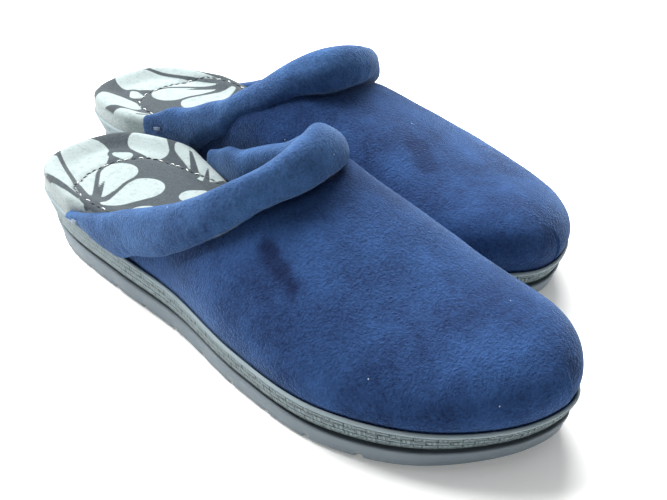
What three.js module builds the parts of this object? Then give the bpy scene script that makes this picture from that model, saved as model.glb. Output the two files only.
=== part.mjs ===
// A pair of closed-toe spa slippers (mules) with a moulded cup sole, a padded velour
// upper with a thick rolled collar, and a felt-covered footbed.
// Millimetres. Each slipper: +X to the toe, +Y to its inner (medial) side, +Z up,
// the ground at z = 0. The right slipper is built once and the left one is its mirror.
import * as THREE from 'three';
import { mergeVertices } from 'three/addons/utils/BufferGeometryUtils.js';

// ---------------------------------------------------------------- driving sizes
const LENGTH = 261; // heel to toe over the sole's rim
const WIDTH = 86; // widest part of the sole's rim
const VAMP_RISE = 62; // ground to the top of the vamp at the collar seam
const SOLE_HEEL_HEIGHT = 20.4; // ground to the rim at the heel
const SOLE_BALL_HEIGHT = 16.8; // ground to the rim at the ball of the foot
const TOE_SPRING = 3.9; // how far the outsole lifts at the toe
const OUTSOLE_SHARE = 0.42; // part of the rim height that the outsole takes
const SOLE_TAPER = 2.2; // how far the sole narrows from rim to ground at the sides
const HEEL_UNDERCUT = 8; // how far it is cut under at the back of the heel
const GROOVE_HEIGHT = 1.8; // groove between outsole and midsole
const GROOVE_DEPTH = 2.2;
const TREAD_PITCH = 20; // spacing of the tread notches along the ground edge
const TREAD_WIDTH = 3;
const TREAD_DEPTH = 1.6;
const TREAD_HEIGHT = 2.4;
const LIP_WIDTH = 1.1; // raised edge of the cup sole that hides the lasted edge
const LIP_HEIGHT = 3;
const GAP = 0.3; // clearance between pieces that touch
const BED_CLEARANCE = 0.9; // footbed's edge to the lining
const FOAM_CLEARANCE = 0.6; // footbed foam to its felt cover
const COLLAR_CLEARANCE = 0.6; // collar to the seam edge of the vamp
const SEAM_PROUD = 0.5; // seam stitches above the vamp, as a share of half the roll
const COLLAR_LIFT = 1.2; // collar seam above the rim where it runs back along the rim
const VAMP_THICKNESS = 2.4; // velour with its backing
const PADDING_THICKNESS = 1.2; // foam sheet, and the toe puff in the same layer
const LINING_THICKNESS = 1;
const TOE_PUFF_LENGTH = 0.1839 * LENGTH; // how far the toe puff reaches back from the toe
const OPENING_REAR = 0.3295 * LENGTH; // where the collar seam leaves the rim, from the heel
const OPENING_FRONT = 0.6054 * LENGTH; // front end of the foot opening at the instep
const COLLAR_REAR_LATERAL = 0.1916 * LENGTH; // rear tip of the collar on the outer side
const COLLAR_REAR_MEDIAL = 0.2299 * LENGTH; // rear tip of the collar on the inner side
const COLLAR_THICKNESS = 12; // padded roll, front to back at the instep
const COLLAR_SIDE_THICKNESS = 9; // padded roll where it runs along the sides
const COLLAR_TIP_THICKNESS = 3.4;
const COLLAR_PROUD = 1.4; // how far the roll stands out past the seam on the outer side
const COLLAR_INSTEP_PROUD = 2.9; // and over the instep
const COLLAR_TUCK = 2; // how far it is set in on the inner side
const COLLAR_SKIN = 2; // velour of the collar with its backing
const BOARD_THICKNESS = 2;
const BED_RISE = 6; // middle of the footbed above the rim
const BED_EDGE_RISE = 3.2; // heel edge of the footbed above its middle
const BED_EDGE_WIDTH = 14; // width of the raised edge round the heel
const BED_SHOULDER = 4; // how far in from its edge the top is fully rounded over
const BED_HEEL_INSET = 0.6; // footbed's edge inside the rim round the open heel
const BED_EASE = 4; // how far ahead of the collar's tip and seam the edge moves inwards
const FELT_THICKNESS = 1.5;
const THREAD_RADIUS = 0.5;
const TACK = { length: 5, width: 1.2, height: 1 };
const TOE_OUT = 5.07; // the left slipper's toe turns away by this many degrees
const STAGGER = 53; // the left slipper stands this much further back
const PAIR_GAP = 0.8; // least clearance between the two slippers

const FEATHER_INSET = LIP_WIDTH + GAP; // the upper stands just inside the lip
const UPPER_THICKNESS = VAMP_THICKNESS + PADDING_THICKNESS + LINING_THICKNESS + 2 * GAP;
const RING_STATIONS = 24; // stations from heel to toe on plain sole pieces
const ACROSS = 5; // cells of the upper from the seam down to the rim
const BACK_STATIONS = 10; // stations of the upper beside the foot opening
const FRONT_STATIONS = 9; // and from its front end to the toe
const LATERAL = -1;
const MEDIAL = 1;

// ---------------------------------------------------------------- colours
const VELOUR = { color: 0x26407c, roughness: 1, metalness: 0 };
const NAVY_KNIT = { color: 0x1d2c55, roughness: 0.95, metalness: 0 };
const FELT = { color: 0xaebabb, roughness: 1, metalness: 0 };
const SIDEWALL = { color: 0xb2c0c2, roughness: 0.65, metalness: 0 };
const RUBBER = { color: 0x8d9ba3, roughness: 0.7, metalness: 0 };
const FOAM = { color: 0xd9d6c6, roughness: 0.95, metalness: 0 };
const BOARD = { color: 0xb49a74, roughness: 0.9, metalness: 0 };
const PUFF = { color: 0xe4e2da, roughness: 0.6, metalness: 0 };
const DARK_THREAD = { color: 0x23304a, roughness: 0.85, metalness: 0 };
const PALE_THREAD = { color: 0xdfe4e2, roughness: 0.85, metalness: 0 };

// ---------------------------------------------------------------- small maths
const lerp = THREE.MathUtils.lerp;
const clamp = THREE.MathUtils.clamp;
const smooth = (x, from, to) => THREE.MathUtils.smoothstep(x, from, to);

/** Height, width or angle that follows a smooth curve through a few [x, value] points. */
function profile(points) {
  const curve = new THREE.CatmullRomCurve3(points.map(([x, v]) => new THREE.Vector3(x, v, 0)));
  const samples = curve.getPoints(200);
  return (x) => interpolate(samples, x);
}

/** y at x on samples whose x grows from first to last. */
function interpolate(samples, x) {
  let high = samples.findIndex((p) => p.x >= x);
  if (high < 0) high = samples.length - 1;
  if (high === 0) high = 1;
  const a = samples[high - 1];
  const b = samples[high];
  const t = clamp((x - a.x) / Math.max(b.x - a.x, 1e-6), 0, 1);
  return lerp(a.y, b.y, t);
}

// ---------------------------------------------------------------- the last's plan and heights
// Rim outline, anticlockwise from the heel, as shares of the length and the width.
const PLAN = [
  [0.009, 0.0], [0.04, -0.24], [0.154, -0.365], [0.314, -0.415], [0.459, -0.44],
  [0.623, -0.522], [0.78, -0.528], [0.913, -0.357], [0.991, -0.065], [0.996, 0.199],
  [0.916, 0.393], [0.761, 0.463], [0.583, 0.431], [0.408, 0.388], [0.232, 0.398],
  [0.135, 0.4], [0.032, 0.265],
];

/** Rim height above the ground. */
const rimHeight = profile([
  [0, SOLE_HEEL_HEIGHT], [0.2 * LENGTH, SOLE_HEEL_HEIGHT], [0.41 * LENGTH, SOLE_HEEL_HEIGHT - 0.5],
  [0.7 * LENGTH, SOLE_BALL_HEIGHT], [0.9 * LENGTH, SOLE_BALL_HEIGHT + 0.3],
  [LENGTH, SOLE_BALL_HEIGHT + 1.3],
]);

/** Height of the outsole's underside: flat, then lifting towards the toe. */
function groundHeight(x) {
  const lift = clamp((x / LENGTH - 0.7) / 0.3, 0, 1);
  return TOE_SPRING * lift * lift;
}

const outsoleTop = (x) => lerp(groundHeight(x), rimHeight(x), OUTSOLE_SHARE);
const ledgeHeight = (x) => rimHeight(x) - LIP_HEIGHT;

/** How far the sole's wall stands in from the rim at a share of the rim height. */
function wallInset(x, share) {
  const heel = 1 - smooth(x, 0, 0.16 * LENGTH);
  const toe = smooth(x, 0.86 * LENGTH, LENGTH);
  return (1 - share) * (SOLE_TAPER + heel * (HEEL_UNDERCUT - SOLE_TAPER) + toe * SOLE_TAPER);
}

/** A sole outline moved inwards by an inset, split into its outer and inner side. */
class Outline {
  constructor(inset = 0) {
    const curve = new THREE.CatmullRomCurve3(
      PLAN.map(([x, y]) => new THREE.Vector3(x * LENGTH, y * WIDTH, 0)), true, 'centripetal');
    const points = curve.getPoints(360).slice(0, -1);
    const count = points.length;
    this.points = points.map((p, i) => {
      const along = points[(i + 1) % count].clone().sub(points[(i + count - 1) % count]).normalize();
      return new THREE.Vector3(p.x - along.y * inset, p.y + along.x * inset, 0);
    });
    const xs = this.points.map((p) => p.x);
    const heel = xs.indexOf(Math.min(...xs));
    const toe = xs.indexOf(Math.max(...xs));
    this.heel = this.points[heel];
    this.toe = this.points[toe];
    const walk = (from, to) => {
      const found = [];
      for (let i = from; i !== to; i = (i + 1) % count) found.push(this.points[i]);
      return [...found, this.points[to]];
    };
    this.sides = { [LATERAL]: walk(heel, toe), [MEDIAL]: walk(toe, heel).reverse() };
  }

  /** y of one side at x. */
  side(x, side) {
    return interpolate(this.sides[side], x);
  }

  /** Stations from heel to toe, closer together at the round ends. */
  stations(count, extra = []) {
    const even = Array.from({ length: count + 1 }, (_, i) =>
      lerp(this.heel.x, this.toe.x, (1 - Math.cos((Math.PI * i) / count)) / 2));
    const clear = even.filter((x) => extra.every((e) => Math.abs(e - x) > 1));
    return [...clear, ...extra].sort((a, b) => a - b);
  }

  /** A closed ring: out along the outer side, back along the inner one. */
  ring(stations, height) {
    const inner = stations.slice(1, -1);
    const point = (x, side) => new THREE.Vector3(x, this.side(x, side), height(x, side));
    const first = new THREE.Vector3(this.heel.x, this.heel.y, height(this.heel.x, 0));
    const last = new THREE.Vector3(this.toe.x, this.toe.y, height(this.toe.x, 0));
    return [first, ...inner.map((x) => point(x, LATERAL)), last,
      ...[...inner].reverse().map((x) => point(x, MEDIAL))];
  }
}

const RIM = new Outline();

/** A ring that stands in from the rim by an inset that may change along the length. */
function rimRing(stations, inset, height) {
  const ring = RIM.ring(stations, height);
  const count = ring.length;
  return ring.map((p, i) => {
    const along = ring[(i + 1) % count].clone().sub(ring[(i + count - 1) % count]).setZ(0).normalize();
    const by = inset(p.x);
    const x = p.x - along.y * by;
    return new THREE.Vector3(x, p.y + along.x * by, height(x, 0));
  });
}

// ---------------------------------------------------------------- solid builders
/** A closed solid from triangles given as lists of points. */
function solid(triangles) {
  const geometry = new THREE.BufferGeometry();
  geometry.setAttribute('position',
    new THREE.Float32BufferAttribute(triangles.flat().flatMap((p) => [p.x, p.y, p.z]), 3));
  return closeUp(geometry);
}

/** Merges shared vertices, drops empty triangles and turns the faces outwards. */
function closeUp(geometry) {
  const merged = mergeVertices(geometry, 1e-4);
  const position = merged.getAttribute('position');
  const index = Array.from(merged.getIndex().array);
  const kept = [];
  for (let i = 0; i < index.length; i += 3) {
    const face = index.slice(i, i + 3);
    if (new Set(face).size === 3) kept.push(face);
  }
  const corner = (i) => new THREE.Vector3().fromBufferAttribute(position, i);
  const volume = kept.reduce((sum, [p, q, r]) => sum + corner(p).dot(corner(q).cross(corner(r))), 0);
  merged.setIndex((volume < 0 ? kept.map(([p, q, r]) => [p, r, q]) : kept).flat());
  return merged;
}

const quad = (a, b, c, d) => [[a, b, c], [a, c, d]];

/** A closed solid through rings that match point for point, closed by strips at both ends. */
function loft(rings) {
  const count = rings[0].length;
  const triangles = [];
  for (let r = 0; r + 1 < rings.length; r += 1) {
    for (let i = 0; i < count; i += 1) {
      const j = (i + 1) % count;
      triangles.push(...quad(rings[r][i], rings[r][j], rings[r + 1][j], rings[r + 1][i]));
    }
  }
  const strip = (ring, turned) => {
    for (let i = 0; i < count / 2; i += 1) {
      const [a, b, c, d] = [ring[i], ring[i + 1], ring[count - i - 1], ring[(count - i) % count]];
      triangles.push(...(turned ? quad(d, c, b, a) : quad(a, b, c, d)));
    }
  };
  strip(rings[0], true);
  strip(rings[rings.length - 1], false);
  return solid(triangles);
}

/** A sheet with thickness between two matching grids; cells can be left out. A last row
 *  that is folded to a point needs no wall. */
function sheet(outer, inner, hasCell = () => true, folded = false) {
  const rows = outer.length - 1;
  const columns = outer[0].length - 1;
  const present = (i, j) => i >= 0 && j >= 0 && i < rows && j < columns && hasCell(i, j);
  const triangles = [];
  const wall = (i, j, k, l) => triangles.push(...quad(outer[i][j], inner[i][j], inner[k][l], outer[k][l]));
  for (let i = 0; i < rows; i += 1) {
    for (let j = 0; j < columns; j += 1) {
      if (!present(i, j)) continue;
      triangles.push(...quad(outer[i][j], outer[i + 1][j], outer[i + 1][j + 1], outer[i][j + 1]));
      triangles.push(...quad(inner[i][j], inner[i][j + 1], inner[i + 1][j + 1], inner[i + 1][j]));
      if (!present(i, j - 1)) wall(i, j, i + 1, j);
      if (!present(i, j + 1)) wall(i + 1, j + 1, i, j + 1);
      if (!present(i - 1, j)) wall(i, j + 1, i, j);
      if (!present(i + 1, j) && !(folded && i + 1 === rows)) wall(i + 1, j, i + 1, j + 1);
    }
  }
  return solid(triangles);
}

/** A round thread along a curve. */
function thread(points, steps) {
  const section = new THREE.Shape();
  section.absarc(0, 0, THREAD_RADIUS, 0, 2 * Math.PI);
  return new THREE.ExtrudeGeometry(section, {
    steps,
    curveSegments: 3,
    bevelEnabled: false,
    extrudePath: new THREE.CatmullRomCurve3(points, false, 'centripetal'),
  });
}

// ---------------------------------------------------------------- sole
function makeOutsole() {
  const notches = [];
  for (let x = 0.14 * LENGTH; x < 0.9 * LENGTH; x += TREAD_PITCH) notches.push(x);
  const edges = notches.flatMap((x) => [0, 0.2, TREAD_WIDTH - 0.2, TREAD_WIDTH].map((d) => x + d));
  const cut = (x) => (notches.some((n) => x > n + 0.1 && x < n + TREAD_WIDTH - 0.1) ? TREAD_DEPTH : 0);
  const stations = RIM.stations(14, edges);
  const level = (share, extra) => (x) => lerp(groundHeight(x), rimHeight(x), share) + extra;
  const low = TREAD_HEIGHT / SOLE_HEEL_HEIGHT;
  return loft([
    rimRing(stations, (x) => wallInset(x, 0) + 0.8 + cut(x), level(0, 0)),
    rimRing(stations, (x) => wallInset(x, low) + cut(x), level(0, TREAD_HEIGHT)),
    rimRing(stations, (x) => wallInset(x, low), level(0, TREAD_HEIGHT + 0.3)),
    rimRing(stations, (x) => wallInset(x, OUTSOLE_SHARE), level(OUTSOLE_SHARE, 0)),
  ]);
}

function makeMidsole() {
  const stations = RIM.stations(RING_STATIONS);
  const seat = (x) => outsoleTop(x) + GAP;
  const shoulder = (x) => outsoleTop(x) + GROOVE_HEIGHT;
  const recess = (x) => wallInset(x, OUTSOLE_SHARE) + GROOVE_DEPTH;
  return loft([
    rimRing(stations, recess, seat),
    rimRing(stations, recess, shoulder),
    rimRing(stations, (x) => wallInset(x, OUTSOLE_SHARE), shoulder),
    rimRing(stations, () => 0, (x) => rimHeight(x) - 1),
    rimRing(stations, () => 0.4, rimHeight),
    rimRing(stations, () => LIP_WIDTH, rimHeight),
    rimRing(stations, () => LIP_WIDTH, ledgeHeight),
  ]);
}

// ---------------------------------------------------------------- footbed
/** The footbed's edge: flush with the rim at the open heel, inside the upper further forward. */
function bedInset(x) {
  const inside = FEATHER_INSET + UPPER_THICKNESS + BED_CLEARANCE;
  const start = Math.min(COLLAR_REAR_LATERAL, COLLAR_REAR_MEDIAL) - BED_EASE;
  const end = OPENING_REAR - BED_EASE;
  return lerp(BED_HEEL_INSET, inside, clamp((x - start) / (end - start), 0, 1));
}

/** Height of the felt's top surface at x, a given distance in from the footbed's edge. */
function bedTop(x, distance) {
  const cup = 1 - smooth(x, 0.16 * LENGTH, 0.4 * LENGTH);
  const edge = 1 - smooth(distance, 3, BED_EDGE_WIDTH);
  return rimHeight(x) + BED_RISE - smooth(x, 0.3 * LENGTH, 0.7 * LENGTH) * 2 + cup * BED_EDGE_RISE * edge;
}

/** Rings of the footbed's outer skin, from the middle of the top to the foot of its edge. */
function bedRings(stations, depth) {
  const shoulder = rimRing(stations, (x) => bedInset(x) + depth + BED_SHOULDER,
    (x) => bedTop(x, BED_SHOULDER) - depth);
  const core = BED_EDGE_WIDTH * 2; // the middle line ends this far from heel and toe
  const inward = (share) => shoulder.map((p) => {
    const x = clamp(p.x, RIM.heel.x + core, RIM.toe.x - core);
    const y = (RIM.side(x, LATERAL) + RIM.side(x, MEDIAL)) / 2;
    const at = p.clone().lerp(new THREE.Vector3(x, y, 0), share);
    const distance = BED_SHOULDER + Math.hypot(at.x - p.x, at.y - p.y);
    return at.setZ(bedTop(at.x, distance) - depth);
  });
  const edge = (x) => Math.max(bedInset(x), FEATHER_INSET) + depth;
  return [
    inward(0.5),
    inward(0.22),
    shoulder,
    rimRing(stations, (x) => bedInset(x) + depth + 1.2, (x) => bedTop(x, 1.5) - depth - 1),
    rimRing(stations, (x) => bedInset(x) + depth, (x) => bedTop(x, 0) - depth - 3.2),
    rimRing(stations, edge, (x) => ledgeHeight(x) + GAP),
  ];
}

function makeFootbedCover() {
  const stations = RIM.stations(RING_STATIONS);
  return loft([...bedRings(stations, 0), ...bedRings(stations, FELT_THICKNESS).reverse()]);
}

function makeFootbedFoam() {
  const stations = RIM.stations(RING_STATIONS);
  const depth = FELT_THICKNESS + FOAM_CLEARANCE;
  const seat = (x) => ledgeHeight(x) + BOARD_THICKNESS + 2 * GAP;
  const edge = (x) => Math.max(bedInset(x), FEATHER_INSET) + depth;
  const half = (x) => lerp(seat(x), bedTop(x, BED_SHOULDER) - depth, 0.4);
  return loft([
    ...bedRings(stations, depth).slice(0, -3),
    rimRing(stations, (x) => edge(x) + BED_SHOULDER / 3, half),
    rimRing(stations, edge, seat),
  ]);
}

function makeInsoleBoard() {
  const stations = RIM.stations(RING_STATIONS);
  const inset = (x) => Math.max(bedInset(x), FEATHER_INSET) + FELT_THICKNESS + GAP;
  return loft([
    rimRing(stations, inset, (x) => ledgeHeight(x) + GAP),
    rimRing(stations, inset, (x) => ledgeHeight(x) + GAP + BOARD_THICKNESS),
  ]);
}

/** One line of stitching that runs round the heel seat, on top of the felt. */
function makeFootbedStitching() {
  const shape = [
    [0.34, -0.27], [0.22, -0.31], [0.155, -0.28], [0.122, -0.17], [0.108, 0.0], [0.125, 0.16],
    [0.165, 0.225], [0.24, 0.24], [0.34, 0.25],
  ];
  const points = shape.map(([sx, sy]) => {
    const [x, y] = [sx * LENGTH, sy * WIDTH];
    const side = y < 0 ? LATERAL : MEDIAL;
    const distance = Math.min(Math.abs(RIM.side(x, side) - y), x) - bedInset(x);
    return new THREE.Vector3(x, y, bedTop(x, Math.max(distance, 0)) + GAP + THREAD_RADIUS + 0.3);
  });
  return thread(points, 40);
}

// ---------------------------------------------------------------- upper
// Crest line of the upper as shares of the length and of the rise at the instep.
const crestHeight = profile([
  [0.2 * LENGTH, 1.6 * VAMP_RISE], [0.43 * LENGTH, 1.27 * VAMP_RISE], [0.58 * LENGTH, 1.035 * VAMP_RISE],
  [0.7 * LENGTH, 0.865 * VAMP_RISE], [0.8 * LENGTH, 0.72 * VAMP_RISE], [0.88 * LENGTH, 0.66 * VAMP_RISE],
  [LENGTH, 0.63 * VAMP_RISE],
]);
const SPINE_END = 0.9 * LENGTH; // the toe rounds down in front of this station
const SPINE_SHIFT = 0.145 * WIDTH; // the crest lies this far to the inner side of the middle
const FULLNESS = { [LATERAL]: 1.64, [MEDIAL]: 2.17 }; // superellipse powers of the two sides
const TOE_FULLNESS = 1.9;
const VAMP_BULGE = 5.5;

// Collar seam on the vamp: station, and how far round from the outer feather edge (-1)
// over the crest (0) to the inner one (1).
const SEAM_LINE = [
  [0, -1], [0.19, -0.9], [0.4, -0.81], [0.67, -0.63], [0.83, -0.46], [0.93, -0.24], [1, 0],
  [0.85, 0.24], [0.69, 0.46], [0.49, 0.63], [0.36, 0.81], [0.19, 0.9], [0.04, 1],
];
const SEAM_STEPS = 240;
const seam = new THREE.CatmullRomCurve3(
  SEAM_LINE.map(([share, round]) => new THREE.Vector3(lerp(OPENING_REAR, OPENING_FRONT, share), round, 0)),
  false, 'centripetal');
const SEAM_SAMPLES = seam.getPoints(SEAM_STEPS);
const CREST_EASE = 40; // the two halves of the upper part over this length in front of the opening

/** One layer of the upper, some depth below its outer surface. */
class UpperLayer {
  constructor(depth) {
    this.depth = depth;
    this.outline = new Outline(FEATHER_INSET + depth);
    this.shift = depth * 0.7; // inner layers end a little lower at the seam
  }

  foot(x) {
    return rimHeight(x) + GAP;
  }

  spine(x) {
    const at = Math.min(x, SPINE_END);
    const middle = (this.outline.side(at, LATERAL) + this.outline.side(at, MEDIAL)) / 2;
    return new THREE.Vector3(at, middle + SPINE_SHIFT, 0);
  }

  crest(x) {
    const full = crestHeight(x) - this.depth;
    const front = clamp((x - SPINE_END) / (this.outline.toe.x - SPINE_END), 0, 1);
    const fall = (1 - front ** TOE_FULLNESS) ** (1 / TOE_FULLNESS);
    return lerp(this.foot(x), full, fall);
  }

  /** A point of the layer: round is -1 at the outer feather edge, 0 on the crest, 1 inside. */
  point(x, round) {
    const side = round < 0 ? LATERAL : MEDIAL;
    const angle = (1 - Math.abs(round)) * (Math.PI / 2);
    const power = 2 / FULLNESS[side];
    const at = Math.min(x, this.outline.toe.x);
    const edge = at < this.outline.toe.x ? this.outline.side(at, side) : this.outline.toe.y;
    const front = clamp((at - SPINE_END) / (this.outline.toe.x - SPINE_END), 0, 1);
    const middle = lerp(this.spine(at).y, this.outline.toe.y, front);
    const foot = this.foot(at);
    const point = new THREE.Vector3(at, lerp(middle, edge, Math.cos(angle) ** power), 0);
    point.z = foot + (this.crest(at) - foot) * Math.sin(angle) ** power;
    const rise = clamp((point.z - foot) / (crestHeight(at) - this.depth - foot), 0, 1);
    const out = point.clone().setZ(0).sub(this.spine(at));
    const lean = Math.asin(Math.min(1, rise ** (1 / power)));
    if (out.length() > 1e-6) point.addScaledVector(out.normalize(), VAMP_BULGE * Math.sin(2 * lean));
    return point;
  }

  /** How far round the seam is at x, on one side of the slipper. */
  seamRound(x, side) {
    const half = SEAM_SAMPLES.filter((p) => Math.sign(p.y) !== -side);
    const ordered = side === LATERAL ? half : [...half].reverse();
    const at = x - this.shift;
    if (at <= ordered[0].x) return side;
    if (at >= OPENING_FRONT) return 0;
    return interpolate(ordered, at);
  }

  /** Stations from the rear of the seam round the front of the opening to the toe. */
  stations() {
    const lateral = SEAM_SAMPLES.slice(0, SEAM_STEPS / 2 + 1);
    const rear = Array.from({ length: BACK_STATIONS }, (_, i) =>
      lateral[Math.round((i * SEAM_STEPS) / 2 / BACK_STATIONS)].x + this.shift);
    const [from, to] = [OPENING_FRONT + this.shift, this.outline.toe.x];
    const fore = Array.from({ length: FRONT_STATIONS + 1 }, (_, i) =>
      lerp(from, to, Math.sin((Math.PI / 2) * (i / FRONT_STATIONS))));
    return [...rear, ...fore];
  }

  /** A row of points across the upper at one station, seam or crest in the middle. */
  row(x) {
    const past = smooth(x, OPENING_FRONT + this.shift, OPENING_FRONT + CREST_EASE) / (2 * ACROSS + 1);
    const half = (side) => {
      const end = x < OPENING_FRONT + this.shift - 1e-6 ? this.seamRound(x, side) : side * past;
      const wall = Array.from({ length: ACROSS + 1 }, (_, j) => this.point(x, lerp(side, end, j / ACROSS)));
      const lasted = wall[0].clone().setZ(ledgeHeight(x) + GAP);
      return [lasted, ...wall];
    };
    return [...half(LATERAL), ...half(MEDIAL).reverse()];
  }
}

/** A closed shell between two depths of the upper, for the stations that a test keeps. */
function upperShell(depth, thickness, keep = () => true) {
  const outer = new UpperLayer(depth);
  const inner = new UpperLayer(depth + thickness);
  const outerStations = outer.stations();
  const innerStations = inner.stations();
  const kept = outerStations.map((x, i) => i).filter((i) => keep(outerStations[i]));
  const opening = kept.findIndex((i) => i >= BACK_STATIONS);
  return sheet(
    kept.map((i) => outer.row(outerStations[i])),
    kept.map((i) => inner.row(innerStations[i])),
    (i, j) => j !== ACROSS + 1 || i >= opening,
    kept.at(-1) === outerStations.length - 1,
  );
}

const TOE_PUFF_START = LENGTH - TOE_PUFF_LENGTH;
const PADDING_DEPTH = VAMP_THICKNESS + GAP;
const LINING_DEPTH = PADDING_DEPTH + PADDING_THICKNESS + GAP;

const makeVamp = () => upperShell(0, VAMP_THICKNESS);
const makePadding = () => upperShell(PADDING_DEPTH, PADDING_THICKNESS, (x) => x < TOE_PUFF_START);
const makeToePuff = () => upperShell(PADDING_DEPTH, PADDING_THICKNESS, (x) => x >= TOE_PUFF_START);
const makeLining = () => upperShell(LINING_DEPTH, LINING_THICKNESS);

// ---------------------------------------------------------------- collar
// Inner top edge of the collar: shares of the opening, the width and the rise, from the
// outer rear tip over the instep to the inner rear tip.
const TOPLINE = [
  [-0.506, -0.392, 0.106], [-0.324, -0.385, 0.211], [-0.096, -0.37, 0.362], [0.074, -0.362, 0.497],
  [0.245, -0.356, 0.618], [0.415, -0.335, 0.732], [0.546, -0.305, 0.829], [0.654, -0.26, 0.931],
  [0.763, -0.18, 1.089], [0.836, -0.07, 1.237], [0.825, 0.04, 1.294], [0.727, 0.16, 1.196],
  [0.582, 0.26, 1.047], [0.448, 0.315, 0.901], [0.328, 0.342, 0.797], [0.201, 0.355, 0.707],
  [0.074, 0.36, 0.601], [-0.042, 0.362, 0.511], [-0.161, 0.367, 0.466], [-0.263, 0.375, 0.376],
  [-0.368, 0.384, 0.301],
];

/** The collar seam as points in space, carried back along the rim to the rear tips. */
function seamLine() {
  const layer = new UpperLayer(0);
  const onVamp = seam.getSpacedPoints(24).map((at) => {
    const point = layer.point(at.x, at.y);
    point.z = Math.max(point.z, rimHeight(at.x) + COLLAR_LIFT);
    return point;
  });
  const alongRim = (x, side) => {
    const y = RIM.side(x, side) - (side === MEDIAL ? FEATHER_INSET : -GAP);
    return new THREE.Vector3(x, y, rimHeight(x) + COLLAR_LIFT);
  };
  const back = [0, 0.33, 0.67].map((share) => lerp(COLLAR_REAR_LATERAL, OPENING_REAR, share));
  const inside = [0.6, 0].map((share) => lerp(COLLAR_REAR_MEDIAL, OPENING_REAR, share));
  return [...back.map((x) => alongRim(x, LATERAL)), ...onVamp, ...inside.map((x) => alongRim(x, MEDIAL))];
}

const COLLAR_STEPS = 26;

/** Sections of the collar roll: middle, up direction, outward direction and half sizes. */
function collarSections() {
  const bottom = new THREE.CatmullRomCurve3(seamLine(), false, 'centripetal');
  const top = new THREE.CatmullRomCurve3(
    TOPLINE.map(([along, y, rise]) => {
      const x = lerp(OPENING_REAR, OPENING_FRONT, along);
      return new THREE.Vector3(x, y * WIDTH, lerp(rimHeight(x), crestHeight(OPENING_FRONT), rise));
    }),
    false, 'centripetal');
  const sections = [];
  for (let i = 0; i <= COLLAR_STEPS; i += 1) {
    const t = i / COLLAR_STEPS;
    const low = bottom.getPointAt(t);
    const high = top.getPointAt(t);
    const up = high.clone().sub(low);
    const height = up.length();
    up.normalize();
    const ahead = bottom.getTangentAt(t).add(top.getTangentAt(t)).normalize();
    const out = new THREE.Vector3().crossVectors(ahead, up).normalize();
    const tip = smooth(Math.min(t, 1 - t), 0, 0.24);
    const instep = smooth(Math.min(t, 1 - t), 0.3, 0.46);
    const side = lerp(COLLAR_TIP_THICKNESS, COLLAR_SIDE_THICKNESS, tip);
    const thickness = lerp(side, COLLAR_THICKNESS, instep);
    const proud = t < 0.5 ? COLLAR_PROUD : -COLLAR_TUCK;
    const middle = low.clone().lerp(high, 0.5)
      .addScaledVector(out, lerp(proud * tip, COLLAR_INSTEP_PROUD, instep));
    const halfHeight = height / 2 - COLLAR_CLEARANCE;
    sections.push({ low, middle, up, out, halfHeight, halfThickness: thickness / 2 });
  }
  return sections;
}

/** A point of a collar section at an angle from its foot, some depth below its surface. */
function collarPoint(section, angle, depth) {
  const height = Math.max(section.halfHeight - depth, 0.4);
  const thickness = Math.max(section.halfThickness - depth, 0.4);
  const squared = (v) => Math.sign(v) * Math.abs(v) ** 0.85;
  return section.middle.clone()
    .addScaledVector(section.up, -height * squared(Math.cos(angle)))
    .addScaledVector(section.out, thickness * squared(Math.sin(angle)));
}

/** The velour wrapped round the roll, open along the seam where its two edges meet. */
function makeCollarCover() {
  const sides = 12;
  const angles = Array.from({ length: sides + 1 }, (_, k) => lerp(0.06, 0.94, k / sides) * 2 * Math.PI);
  const sections = collarSections();
  return sheet(
    sections.map((s) => angles.map((angle) => collarPoint(s, angle, 0))),
    sections.map((s) => angles.map((angle) => collarPoint(s, angle, COLLAR_SKIN))),
  );
}

function makeCollarFoam() {
  const depth = COLLAR_SKIN + GAP;
  const sections = collarSections().filter((s) => s.halfThickness > depth + 0.8);
  const ring = (s) => Array.from({ length: 10 }, (_, k) => collarPoint(s, (k * 2 * Math.PI) / 10, depth));
  return loft(sections.map(ring));
}

/** The stitching in the crease where the collar meets the vamp. */
function makeCollarSeam() {
  const points = collarSections().slice(5, -4).map((s) => s.low.clone()
    .addScaledVector(s.up, -GAP)
    .addScaledVector(s.out, SEAM_PROUD * s.halfThickness));
  return thread(points, 30);
}

/** A bar of tight stitches that holds a rear tip of the collar down. */
function makeTack(index) {
  const sections = collarSections();
  const section = sections.at(index);
  const geometry = new THREE.BoxGeometry(TACK.length, TACK.width, TACK.height);
  const ahead = new THREE.Vector3().crossVectors(section.up, section.out);
  const place = new THREE.Matrix4().makeBasis(ahead, section.out, ahead.clone().cross(section.out));
  place.setPosition(section.middle.clone()
    .addScaledVector(section.out, section.halfThickness + GAP + TACK.width));
  return geometry.applyMatrix4(place);
}

// ---------------------------------------------------------------- assembly
const PIECES = [
  ['outsole', makeOutsole, RUBBER],
  ['midsole', makeMidsole, SIDEWALL],
  ['insole_board', makeInsoleBoard, BOARD],
  ['footbed_foam', makeFootbedFoam, FOAM],
  ['footbed_cover', makeFootbedCover, FELT],
  ['footbed_stitching', makeFootbedStitching, DARK_THREAD],
  ['vamp', makeVamp, VELOUR],
  ['vamp_padding', makePadding, FOAM],
  ['toe_puff', makeToePuff, PUFF],
  ['vamp_lining', makeLining, NAVY_KNIT],
  ['collar_cover', makeCollarCover, VELOUR],
  ['collar_foam', makeCollarFoam, FOAM],
  ['collar_seam_stitching', makeCollarSeam, DARK_THREAD],
  ['collar_bartack_outer', () => makeTack(1), PALE_THREAD],
  ['collar_bartack_inner', () => makeTack(-2), PALE_THREAD],
];

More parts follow.
